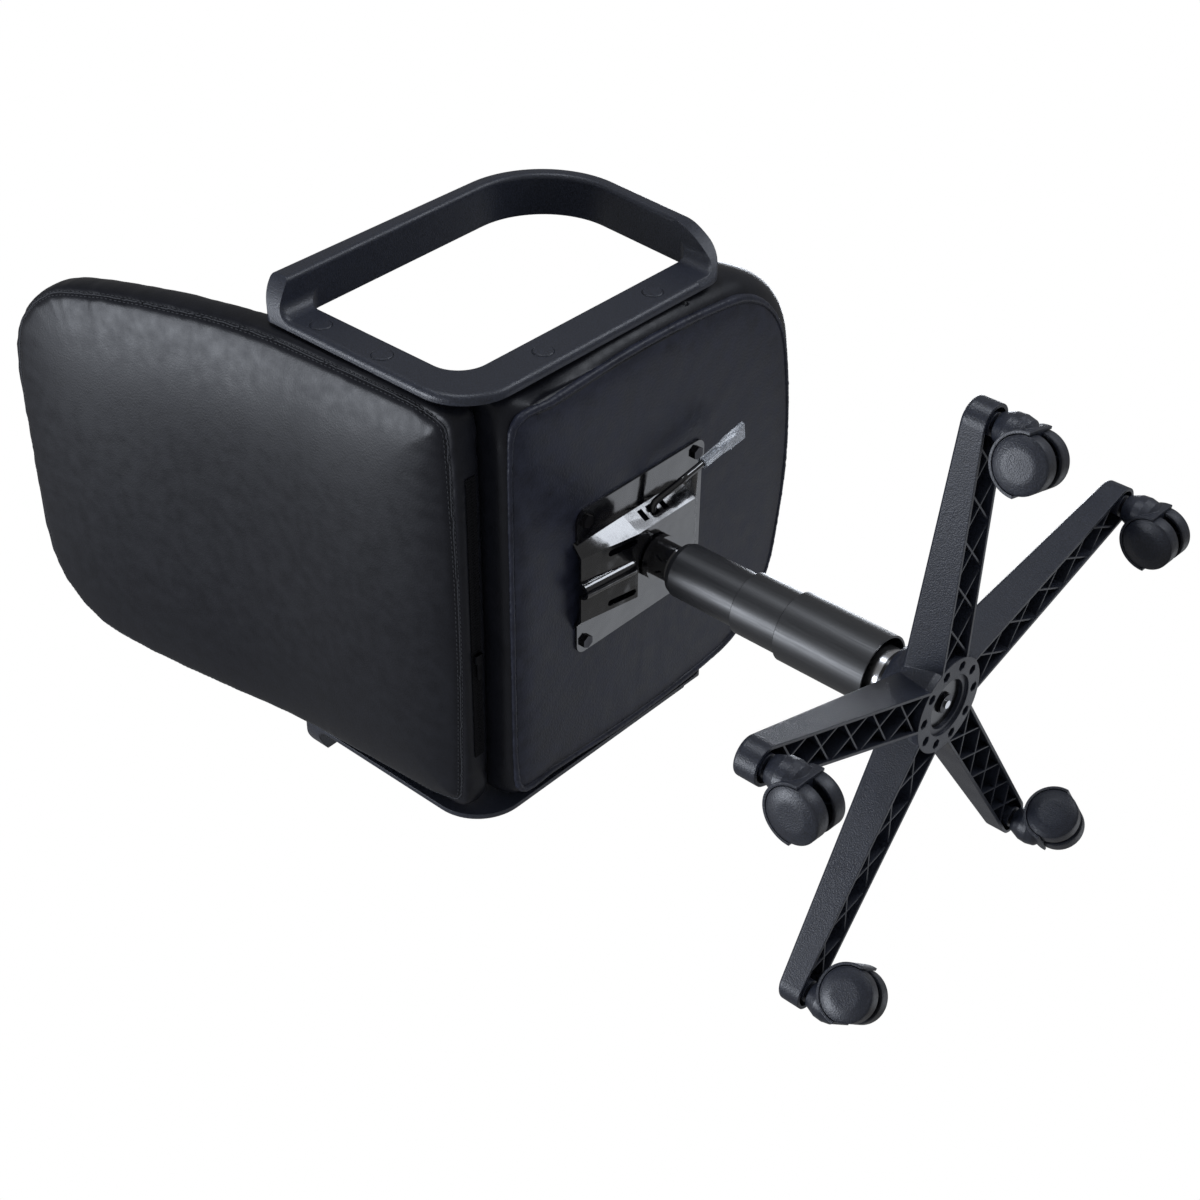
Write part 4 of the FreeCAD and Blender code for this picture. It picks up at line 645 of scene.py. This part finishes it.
def on_skin(loop, tree, lift=0.0):
    """The loop laid on a skin, lifted off it along its normal."""
    laid = []
    for point in loop:
        spot, normal, _, _ = tree.find_nearest(point)
        laid.append(spot + normal * lift)
    return laid


def distances(mesh, loop):
    """For each vertex, its distance to the loop and the nearest loop point's number."""
    tree = KDTree(len(loop))
    for i, point in enumerate(loop):
        tree.insert(point, i)
    tree.balance()
    return [tree.find(v.co)[1:] for v in mesh.vertices]


def press_seam(mesh, loop, depth, width):
    """Draws the skin in along a seam."""
    near = distances(mesh, loop)
    normals = [v.normal.copy() for v in mesh.vertices]
    for vertex, normal, (_, away) in zip(mesh.vertices, normals, near):
        if away < 3 * width:
            vertex.co -= normal * depth * math.exp(-((away / width) ** 2))


def gather(mesh, loop, height, wave, reach, seed):
    """Small puckers that run off a seam, strong in some stretches and absent in others."""
    step = sum((b - a).length for a, b in zip(loop, loop[1:])) / (len(loop) - 1)
    near = distances(mesh, loop)
    normals = [v.normal.copy() for v in mesh.vertices]
    for vertex, normal, (i, away) in zip(mesh.vertices, normals, near):
        if away > 3 * reach:
            continue
        along = i * step
        strength = max(0.0, noise.noise(Vector((along / (6 * wave), seed, 0.0))) + 0.1)
        ripple = noise.noise(Vector((along / wave, away / (4 * reach), seed + 7.0)))
        vertex.co += normal * height * strength * ripple * math.exp(-away / reach) * 2


def tube(name, loop, radii, sides=10):
    """A closed cord along a loop whose radius may change on the way."""
    verts, faces = [], []
    count = len(loop)
    for i, point in enumerate(loop):
        along = (loop[(i + 1) % count] - loop[i - 1]).normalized()
        side = along.cross(Vector((0, 0, 1)))
        if side.length < 1e-4:
            side = along.cross(Vector((0, 1, 0)))
        side.normalize()
        up = side.cross(along)
        for k in range(sides):
            turn = 2 * math.pi * k / sides
            verts.append(point + (side * math.cos(turn) + up * math.sin(turn)) * radii[i])
    for i in range(count):
        for k in range(sides):
            a, b = i * sides, ((i + 1) % count) * sides
            n = (k + 1) % sides
            faces.append((a + k, a + n, b + n, b + k))
    return mesh_from(name, verts, faces)


def stitch_mesh(name, rows, thickness, sides=6):
    """Short round-ended threads; each row is a list of (start, end) pairs."""
    verts, faces = [], []
    profile = ((0.0, 0.35), (0.18, 0.85), (0.5, 1.0), (0.82, 0.85), (1.0, 0.35))
    for start, end in (pair for row in rows for pair in row):
        along = (end - start).normalized()
        side = along.orthogonal().normalized()
        up = along.cross(side)
        base = len(verts)
        for share, wide in profile:
            middle = start.lerp(end, share)
            for k in range(sides):
                turn = 2 * math.pi * k / sides
                verts.append(middle + (side * math.cos(turn) + up * math.sin(turn)) * wide * thickness / 2)
        for ring in range(len(profile) - 1):
            for k in range(sides):
                a, n = base + ring * sides, (k + 1) % sides
                faces.append((a + k, a + n, a + sides + n, a + sides + k))
        faces.append(tuple(base + k for k in reversed(range(sides))))
        last = base + (len(profile) - 1) * sides
        faces.append(tuple(last + k for k in range(sides)))
    return mesh_from(name, verts, faces)


def stitch_row(loop, pitch, size, closed=True):
    """Start and end of each stitch along a path."""
    total = sum((b - a).length for a, b in zip(loop, loop[1:] + loop[:1]))
    count = max(8, int(total / pitch))
    fine = evenly(loop, count * 4, closed)
    return [(fine[4 * i], fine[4 * i].lerp(fine[min(4 * i + 3, len(fine) - 1)], size / (pitch * 0.75)))
            for i in range(count - (0 if closed else 1))]


def topstitch(path, skin, sizes):
    """The stitches of one row along a path near a skin."""
    row = smoothed(on_skin(path, skin, STITCH_LIFT), 3)
    return stitch_row(row, sizes.stitch_pitch, sizes.stitch_length)


def seam_cord(name, seam, skin):
    """The thin line of a seam, half sunk in its skin."""
    return tube(name, on_skin(seam, skin, -STITCH_LIFT), [SEAM_CORD_R] * len(seam), 6)


# The back, worked flat and then bent to its lean

def back_middle_y(z):
    """Middle of the back's boxing at height z."""
    up = z - BACK_FOOT_Z
    bend_r = BACK_BEND_H / (math.sin(BACK_TOP_LEAN) - math.sin(BACK_LOW_LEAN))
    y = BACK_FOOT_Y + min(up, BACK_BEND_UP) * math.tan(BACK_LOW_LEAN)
    if up > BACK_BEND_UP:
        turn = math.asin(math.sin(BACK_LOW_LEAN) + min(up - BACK_BEND_UP, BACK_BEND_H) / bend_r)
        y += bend_r * (math.cos(BACK_LOW_LEAN) - math.cos(turn))
    if up > BACK_BEND_UP + BACK_BEND_H:
        y += (up - BACK_BEND_UP - BACK_BEND_H) * math.tan(BACK_TOP_LEAN)
    return y


def flatten(mesh, sign):
    """Takes the back's lean out of a mesh (sign -1) or puts it in again (sign 1)."""
    for vertex in mesh.vertices:
        vertex.co.y += sign * back_middle_y(vertex.co.z)
    mesh.update()


def bent(points):
    return [p + Vector((0, back_middle_y(p.z), 0)) for p in points]


class CHAIR_OT_back(bpy.types.Operator):
    """Makes the padded back with its seams and topstitching"""

    bl_idname = "chair.back"
    bl_label = "Padded back"

    def execute(self, context):
        sizes = context.scene.chair_sizes
        across = Vector((0, 1, 0))
        shell = filled_shell("back_padding", ["back_cushion", "back_frame", "back_t_nuts"], sizes.voxel)
        flatten(shell.data, -1)
        relax(shell.data, 4)
        self.square_foot(shell.data)
        seam_y = BACK_BOXING / 2 - BACK_SEAM_IN
        seams = [outline_at(shell.data, across * side * seam_y, across, SEAM_POINTS) for side in (1, -1)]
        held = {v.index for v in shell.data.vertices if v.co.z < BACK_FOOT_Z + FOOT_HOLD}
        for seam in seams:
            held |= {i for i, (_, away) in enumerate(distances(shell.data, seam)) if away < SEAM_HOLD}
        swell(shell, list(held), sizes.back_swell)
        relax(shell.data, 1)
        subdivide(shell)
        self.fill_out(shell.data, seams[0], sizes)
        rows = []
        for number, seam in enumerate(seams):
            press_seam(shell.data, seam, sizes.seam_depth, sizes.seam_width)
            gather(shell.data, seam, *BACK_PUCKERS, 3.0 * number + 1.5)
        self.keep_clear(shell.data)
        skin = tree_of(shell.data)
        for seam, side in zip(seams, (1, -1)):
            inner = drawn_in(seam, across, sizes.stitch_inset)
            outer = [p - across * side * sizes.stitch_inset for p in seam]
            rows += [topstitch(row, skin, sizes) for row in (inner, outer)]
        cords = [seam_cord("seam", seam, skin) for seam in seams]
        flatten(shell.data, 1)
        body = bpy.data.meshes.new_from_object(shell)
        bpy.data.objects.remove(shell)
        piece = new_piece("back_padding", body, "seat", finish_for(LEATHER))
        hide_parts("back_cushion")
        bent_rows = [[tuple(bent(pair)) for pair in row] for row in rows]
        stitches = stitch_mesh("back_stitching", bent_rows, sizes.thread)
        new_piece("back_stitching", stitches, "seat", thread_finish())
        lines = joined(cords)
        flatten(lines, 1)
        new_piece("back_seams", lines, "seat", thread_finish())
        return {"FINISHED"}

    @staticmethod
    def square_foot(mesh):
        """Draws out the two corners at the back's foot."""
        across, up = BACK_CORNER
        top = BACK_FOOT_Z + up
        points = [v.co for v in mesh.vertices]
        wide = max(p.x for p in points if p.z < top)
        for side in (1, -1):
            square_off(points, (0, 2), (side * (wide - across), top), (side * across, -up))

    @staticmethod
    def fill_out(mesh, seam, sizes):
        """Fills out the rear panel: steep off its seam, level over the middle."""
        tall = max(p.z for p in seam) - BACK_FOOT_Z
        for vertex, (_, away) in zip(mesh.vertices, distances(mesh, seam)):
            if vertex.co.y > seam[0].y:
                up = (vertex.co.z - BACK_FOOT_Z) / tall
                fill = sizes.back_fill + (sizes.back_fill_top - sizes.back_fill) * up
                vertex.co.y += fill * (1.0 - math.exp(-away / sizes.back_fill_width))

    @staticmethod
    def keep_clear(mesh):
        """Keeps the flat-worked back off the arms, the zip and the seat."""
        for vertex in mesh.vertices:
            vertex.co.x = between_rails(vertex.co.x)
            vertex.co.z = max(BACK_FOOT_Z + FOOT_CLEAR, vertex.co.z)
            if vertex.co.z < SEAT_TOP_Z + REAR_CLEAR_UP:
                front = SEAT_REAR_Y + REAR_CLEAR - back_middle_y(vertex.co.z)
                vertex.co.y = max(front, vertex.co.y)


def thread_finish():
    return bpy.data.materials.get("Polyester thread") or sewing_thread(
        "Polyester thread", bpy.context.scene.chair_colours.thread)


def joined(meshes):
    """One mesh of several."""
    bm = bmesh.new()
    for mesh in meshes:
        bm.from_mesh(mesh)
    out = bpy.data.meshes.new(meshes[0].name)
    bm.to_mesh(out)
    bm.free()
    return out


class CHAIR_OT_seat(bpy.types.Operator):
    """Makes the padded seat with its upper seam and topstitching"""

    bl_idname = "chair.seat"
    bl_label = "Padded seat"

    def execute(self, context):
        sizes = context.scene.chair_sizes
        up = Vector((0, 0, 1))
        shell = filled_shell("seat_padding", ["seat_cushion", "seat_frame", "seat_t_nuts"], sizes.voxel)
        relax(shell.data, 4)
        square_seat([v.co for v in shell.data.vertices])
        seam = outline_at(shell.data, up * SEAT_SEAM_Z, up, SEAM_POINTS)
        held = {v.index for v in shell.data.vertices if v.co.z < SEAT_FLOOR_Z + FOOT_HOLD}
        held |= {i for i, (_, away) in enumerate(distances(shell.data, seam)) if away < SEAM_HOLD}
        swell(shell, list(held), sizes.seat_swell)
        relax(shell.data, 1)
        subdivide(shell)
        wrap(shell.data, ["seat_frame"], SEAT_FLOOR_Z + BOARD_COVER_UP, BOARD_COVER)
        press_seam(shell.data, seam, sizes.seam_depth, sizes.seam_width)
        gather(shell.data, seam, *SEAT_PUCKERS, 21.0)
        for vertex in shell.data.vertices:
            vertex.co.x = between_rails(vertex.co.x)
            vertex.co.y = eased(vertex.co.y, SEAT_REAR_Y + SEAT_REAR_OVER)
            vertex.co.z = max(SEAT_FLOOR_Z - FLOOR_SAG, vertex.co.z)
        skin = tree_of(shell.data)
        upper = drawn_in([p + up * 2 * MM for p in seam], up, sizes.stitch_inset)
        lower = [p - up * sizes.stitch_inset for p in seam]
        rows = [topstitch(row, skin, sizes) for row in (upper, lower)]
        line = seam_cord("seat_seam", seam, skin)
        body = bpy.data.meshes.new_from_object(shell)
        bpy.data.objects.remove(shell)
        piece = new_piece("seat_padding", body, "seat", finish_for(LEATHER))
        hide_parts("seat_cushion")
        stitches = stitch_mesh("seat_stitching", rows, sizes.thread)
        new_piece("seat_stitching", stitches, "seat", thread_finish())
        new_piece("seat_seam", line, "seat", thread_finish())
        return {"FINISHED"}


def underside_finish():
    colours = bpy.context.scene.chair_colours
    return bpy.data.materials.get("Thin PU leather") or pu_leather(
        "Thin PU leather", colours.underside, 2.2, 0.35, 0.8, 0.42, 0.3)


class CHAIR_OT_underside(bpy.types.Operator):
    """Makes the panel sewn under the seat, its rolled edge and its long front stitches"""

    bl_idname = "chair.underside"
    bl_label = "Seat underside"

    COUNT = 320
    EDGE_DOWN = 0.3 * MM      # panel's edge below the board's underside
    EDGE_OUT = 4.0 * MM       # panel's edge outside the CAD cover's
    BASTING_IN = 7.0 * MM     # long stitches inside the panel's edge, their length and thickness
    BASTING_L = 9.0 * MM
    BASTING_T = 2.2 * MM
    FRONT_Y = -170.0 * MM     # the edge's front stretch lies before this
    RIPPLES = ((42.0, 0.5 * MM), (110.0, 0.25 * MM))  # waves to a metre, and their height
    PLATE_HALF = (90.0 * MM, 100.0 * MM)              # the panel stays flat under the seat plate
    # Over these distances from its edge, in mm, the panel falls to its depth and starts to ripple
    FALL = 11.0
    FLAT = 6.0
    # The rolled edge: where it grows full, as a share of the half width and a run, then at both ends
    FULL_SIDE = (0.80, 0.12)
    FULL_FRONT = 50.0 * MM
    FULL_REAR = (6.0 * MM, 20.0 * MM)
    PUCKERS = (0.35, 0.22)  # step of its noise to a point, and share of the thickness
    SLACK = (0.03, 0.14)
    # The panel's rings, in mm from its edge
    RINGS = (0.0, 1.0, 2.5, 5.0, 9.0, 14.0, 20.0, 28.0, 38.0, 50.0, 64.0, 80.0, 98.0, 118.0, 140.0, 160.0)

    def execute(self, context):
        sizes = context.scene.chair_sizes
        up = Vector((0, 0, 1))
        edge_z = SEAT_FLOOR_Z - self.EDGE_DOWN
        edge = outline_at(NODES["seat_bottom_cover"].data, up * edge_z, up, self.COUNT)
        edge = drawn_in(edge, up, -self.EDGE_OUT)
        square_seat(edge)
        panel = self.panel(edge, edge_z)
        piece = new_piece("seat_under_panel", panel, "seat", underside_finish())
        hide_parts("seat_bottom_cover")
        roll = self.roll(edge, sizes)
        new_piece("seat_rolled_edge", roll, "seat", underside_finish())
        front = [p for p in edge if p.y < self.FRONT_Y]
        front.sort(key=lambda p: p.x)
        row = on_skin(drawn_in(evenly(front, 160, False), up, self.BASTING_IN), tree_of(panel), 0.1 * MM)
        pairs = stitch_row(row[2:-2], sizes.basting_pitch, self.BASTING_L, closed=False)
        basting = stitch_mesh("seat_basting", [pairs], self.BASTING_T)
        new_piece("seat_basting", basting, "seat", thread_finish())
        return {"FINISHED"}

    def panel(self, edge, edge_z):
        """Closed panel: a soft underside that dips off its edge, and a flat face against the board."""
        middle = sum(edge, Vector()) / len(edge)
        reach = sum((p - middle).length for p in edge) / len(edge)
        drop = edge_z - PLATE_TOP_Z
        verts, faces = [], []
        for inset in self.RINGS:
            share = 1.0 - inset * MM / reach
            for point in edge:
                at = middle.lerp(point, share)
                ripple = sum(noise.noise(at * waves) * height for waves, height in self.RIPPLES)
                fall = 1.0 - math.exp(-inset / self.FALL)
                at_plate = abs(at.x) < self.PLATE_HALF[0] and abs(at.y) < self.PLATE_HALF[1]
                free = min(1.0, inset / self.FLAT) * (0.0 if at_plate else 1.0)
                at.z = edge_z - drop * fall + ripple * free
                verts.append(at)
        for ring in range(len(self.RINGS) - 1):
            a, b = ring * self.COUNT, (ring + 1) * self.COUNT
            for k in range(self.COUNT):
                n = (k + 1) % self.COUNT
                faces.append((a + k, b + k, b + n, a + n))
        last = (len(self.RINGS) - 1) * self.COUNT
        verts.append(Vector((middle.x, middle.y, PLATE_TOP_Z)))
        hub = len(verts) - 1
        verts.append(Vector((middle.x, middle.y, edge_z)))
        lid = len(verts) - 1
        for k in range(self.COUNT):
            n = (k + 1) % self.COUNT
            faces.append((last + k, hub, last + n))
            faces.append((n, lid, k))
        return mesh_from("seat_under_panel", verts, faces)

    def roll(self, edge, sizes):
        """Cover rolled under the board's edge: full at the sides, thin at the front and the rear."""
        line = [p + Vector((0, 0, 1.2 * MM)) for p in drawn_in(edge, Vector((0, 0, 1)), -2.0 * MM)]
        fine = evenly(line, 900)
        front, rear = min(p.y for p in fine), max(p.y for p in fine)
        wide = max(p.x for p in fine)
        radii = []
        for i, point in enumerate(fine):
            side = max(0.0, min(1.0, (abs(point.x) / wide - self.FULL_SIDE[0]) / self.FULL_SIDE[1]))
            at_rear = (rear - point.y + self.FULL_REAR[0]) / self.FULL_REAR[1]
            ends = min(1.0, (point.y - front) / self.FULL_FRONT, at_rear)
            full = side * max(0.0, ends)
            pucker = noise.noise(Vector((i * self.PUCKERS[0], 0.0, 5.0))) * (1.0 - full * 0.6) * self.PUCKERS[1]
            slack = noise.noise(Vector((i * self.SLACK[0], 3.0, 5.0))) * self.SLACK[1]
            radii.append((sizes.fold + (sizes.welt - sizes.fold) * full) / 2 * (1.0 + pucker + slack))
        return tube("seat_rolled_edge", fine, radii, 12)


class CHAIR_OT_zip(bpy.types.Operator):
    """Finishes the zip along the back's foot and gives it teeth"""

    bl_idname = "chair.zip"
    bl_label = "Zip"

    TOOTH_ROOT = 0.6 * MM  # tooth's two ends off the zip's middle, and its thickness
    TOOTH_TIP = 2.2 * MM
    TOOTH_T = 0.5 * MM

    def execute(self, context):
        sizes = context.scene.chair_sizes
        finish_nodes(["zip_tape", "zip_slider"])
        low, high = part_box("zip_tape")
        middle = (low.y + high.y) / 2
        pairs = []
        count = int((high.x - low.x) / sizes.tooth_pitch)
        for i in range(1, count):
            x = low.x + i * sizes.tooth_pitch
            side = 1 if i % 2 else -1
            root = Vector((x, middle - side * self.TOOTH_ROOT, low.z))
            pairs.append((root, Vector((x, middle + side * self.TOOTH_TIP, low.z))))
        teeth = stitch_mesh("zip_teeth", [pairs], self.TOOTH_T)
        new_piece("zip_teeth", teeth, "seat", finish_for("zip_metal"))
        return {"FINISHED"}


class CHAIR_OT_base(bpy.types.Operator):
    """Finishes the star base and the five casters"""

    bl_idname = "chair.base"
    bl_label = "Base and casters"

    def execute(self, context):
        colours = context.scene.chair_colours
        finish_nodes(nodes_named("star_base", "caster_"))
        domed = moulded_nylon("Moulded nylon, domed", colours.nylon, WHEEL_ROUND)
        for name in nodes_named("caster_"):
            if "wheel" in name:
                dress(name, domed)
        return {"FINISHED"}


class CHAIR_OT_lift(bpy.types.Operator):
    """Finishes the gas lift and its telescopic sleeves"""

    bl_idname = "chair.lift"
    bl_label = "Gas lift"

    def execute(self, context):
        colours = context.scene.chair_colours
        finish_nodes(nodes_named("column_", "guide_", "thrust_", "bumper", "clip_", "retaining_", "piston_",
                                 "lift_tube", "tube_", "release_", "cover_"))
        dress("column_tube", painted_column("Painted and ground column", colours.paint, colours.bright))
        return {"FINISHED"}


class CHAIR_OT_plate(bpy.types.Operator):
    """Finishes the seat plate, its bolts and the lift lever"""

    bl_idname = "chair.plate"
    bl_label = "Seat plate and lever"

    def execute(self, context):
        finish_nodes(nodes_named("seat_plate", "cylinder_", "plate_", "lift_lever", "lever_"))
        return {"FINISHED"}


class CHAIR_OT_arms(bpy.types.Operator):
    """Finishes the loop arms, their bolts and caps"""

    bl_idname = "chair.arms"
    bl_label = "Arms"

    def execute(self, context):
        finish_nodes(nodes_named("arm_"))
        return {"FINISHED"}


class CHAIR_OT_boards(bpy.types.Operator):
    """Finishes the boards and T-nuts inside the upholstery"""

    bl_idname = "chair.boards"
    bl_label = "Boards"

    def execute(self, context):
        finish_nodes(nodes_named("seat_frame", "seat_t_nuts", "back_frame", "back_t_nuts"))
        return {"FINISHED"}


# Stage

def studio_floor(rgb):
    """Pale matt floor, lifted to the eye, that shows from above only; lamps and reflections pass it."""
    material = bpy.data.materials.new("Studio floor")
    material.use_nodes = True
    tree = material.node_tree
    tree.nodes.clear()
    matt = add_node(tree, "BsdfDiffuse", {"Color": (*rgb, 1.0)})
    clear = add_node(tree, "BsdfTransparent")
    facing = add_node(tree, "NewGeometry")
    path = add_node(tree, "LightPath")
    lift = add_node(tree, "Emission", {"Color": FLOOR_LIFT, "Strength": path.outputs["Is Camera Ray"]})
    pale = add_node(tree, "AddShader", {0: matt.outputs[0], 1: lift.outputs[0]})
    unseen = add_node(tree, "Math", {0: facing.outputs["Backfacing"], 1: path.outputs["Is Shadow Ray"]},
                      operation="MAXIMUM")
    unseen = add_node(tree, "Math", {0: unseen.outputs[0], 1: path.outputs["Is Glossy Ray"]},
                      operation="MAXIMUM")
    mix = add_node(tree, "MixShader", {0: unseen.outputs[0], 1: pale.outputs[0], 2: clear.outputs[0]})
    add_node(tree, "OutputMaterial", {"Surface": mix.outputs[0]})
    return material


def studio_world(level):
    """White to the eye and through clear parts; a dim plain fill to everything else."""
    world = bpy.data.worlds.new("Studio")
    bpy.context.scene.world = world
    world.use_nodes = True
    tree = world.node_tree
    tree.nodes.clear()
    path = add_node(tree, "LightPath")
    seen = add_node(tree, "Math", {0: path.outputs["Is Camera Ray"], 1: path.outputs["Is Transmission Ray"]},
                    operation="MAXIMUM")
    strength = add_node(tree, "MapRange", {"Value": seen.outputs[0], "To Min": level, "To Max": 1.0})
    fill = add_node(tree, "Background", {"Color": (1, 1, 1, 1), "Strength": strength.outputs[0]})
    add_node(tree, "OutputWorld", {"Surface": fill.outputs[0]})


def softbox(name, place, size, power):
    """Square area lamp aimed at the chair's middle."""
    lamp = bpy.data.lights.new(name, "AREA")
    lamp.shape = "SQUARE"
    lamp.size = size
    lamp.energy = power
    lamp.color = COOL
    holder = bpy.data.objects.new(name, lamp)
    bpy.context.scene.collection.objects.link(holder)
    holder.location = place
    holder.rotation_euler = (LAMPS_AIM - Vector(place)).to_track_quat("-Z", "Y").to_euler()


class CHAIR_OT_stage(bpy.types.Operator):
    """Sets up the floor, the lamps, the white surround and the photograph's camera"""

    bl_idname = "chair.stage"
    bl_label = "Studio"

    def execute(self, context):
        corners = [(x * FLOOR_HALF, y * FLOOR_HALF, 0) for x, y in ((-1, -1), (1, -1), (1, 1), (-1, 1))]
        floor = bpy.data.objects.new("floor", mesh_from("floor", corners, [(0, 1, 2, 3)]))
        floor.data.materials.append(studio_floor(context.scene.chair_colours.floor))
        context.scene.collection.objects.link(floor)
        studio_world(FILL_LEVEL)
        for lamp in LAMPS:
            softbox(*lamp)
        self.camera(context)
        context.scene.view_settings.view_transform = "Standard"
        return {"FINISHED"}

    @staticmethod
    def camera(context):
        lens = bpy.data.cameras.new("photo_camera")
        lens.lens = CAMERA_LENS
        lens.sensor_width = CAMERA_SENSOR
        camera = bpy.data.objects.new("photo_camera", lens)
        context.scene.collection.objects.link(camera)
        towards = CAMERA_DOWN.cross(CAMERA_RIGHT)
        axes = Matrix((CAMERA_RIGHT, -CAMERA_DOWN, towards)).transposed()
        camera.matrix_world = Matrix.Translation(CAMERA_AT) @ axes.to_4x4()
        context.scene.camera = camera


OPERATORS = (CHAIR_OT_base, CHAIR_OT_lift, CHAIR_OT_plate, CHAIR_OT_arms, CHAIR_OT_boards, CHAIR_OT_seat,
             CHAIR_OT_underside, CHAIR_OT_back, CHAIR_OT_zip, CHAIR_OT_stage)


class CHAIR_PT_panel(bpy.types.Panel):
    """Sidebar panel with the chair's sizes, colours and steps"""

    bl_idname = "CHAIR_PT_panel"
    bl_label = "Executive chair"
    bl_space_type = "VIEW_3D"
    bl_region_type = "UI"
    bl_category = "Chair"

    def draw(self, context):
        for settings in (context.scene.chair_sizes, context.scene.chair_colours):
            column = self.layout.column(align=True)
            for name in settings.bl_rna.properties.keys():
                if name not in ("rna_type", "name"):
                    column.prop(settings, name)
        for operator in OPERATORS:
            self.layout.operator(operator.bl_idname)


CLASSES = (ChairColours, ChairSizes, *OPERATORS, CHAIR_PT_panel)


def register():
    for item in CLASSES:
        bpy.utils.register_class(item)
    bpy.types.Scene.chair_colours = PointerProperty(type=ChairColours)
    bpy.types.Scene.chair_sizes = PointerProperty(type=ChairSizes)


def unregister():
    del bpy.types.Scene.chair_sizes
    del bpy.types.Scene.chair_colours
    for item in reversed(CLASSES):
        bpy.utils.unregister_class(item)


def main():
    register()
    bpy.ops.chair.base()
    bpy.ops.chair.lift()
    bpy.ops.chair.plate()
    bpy.ops.chair.arms()
    bpy.ops.chair.boards()
    bpy.ops.chair.seat()
    bpy.ops.chair.underside()
    bpy.ops.chair.back()
    bpy.ops.chair.zip()
    bpy.ops.chair.stage()


if __name__ == "__main__":
    main()
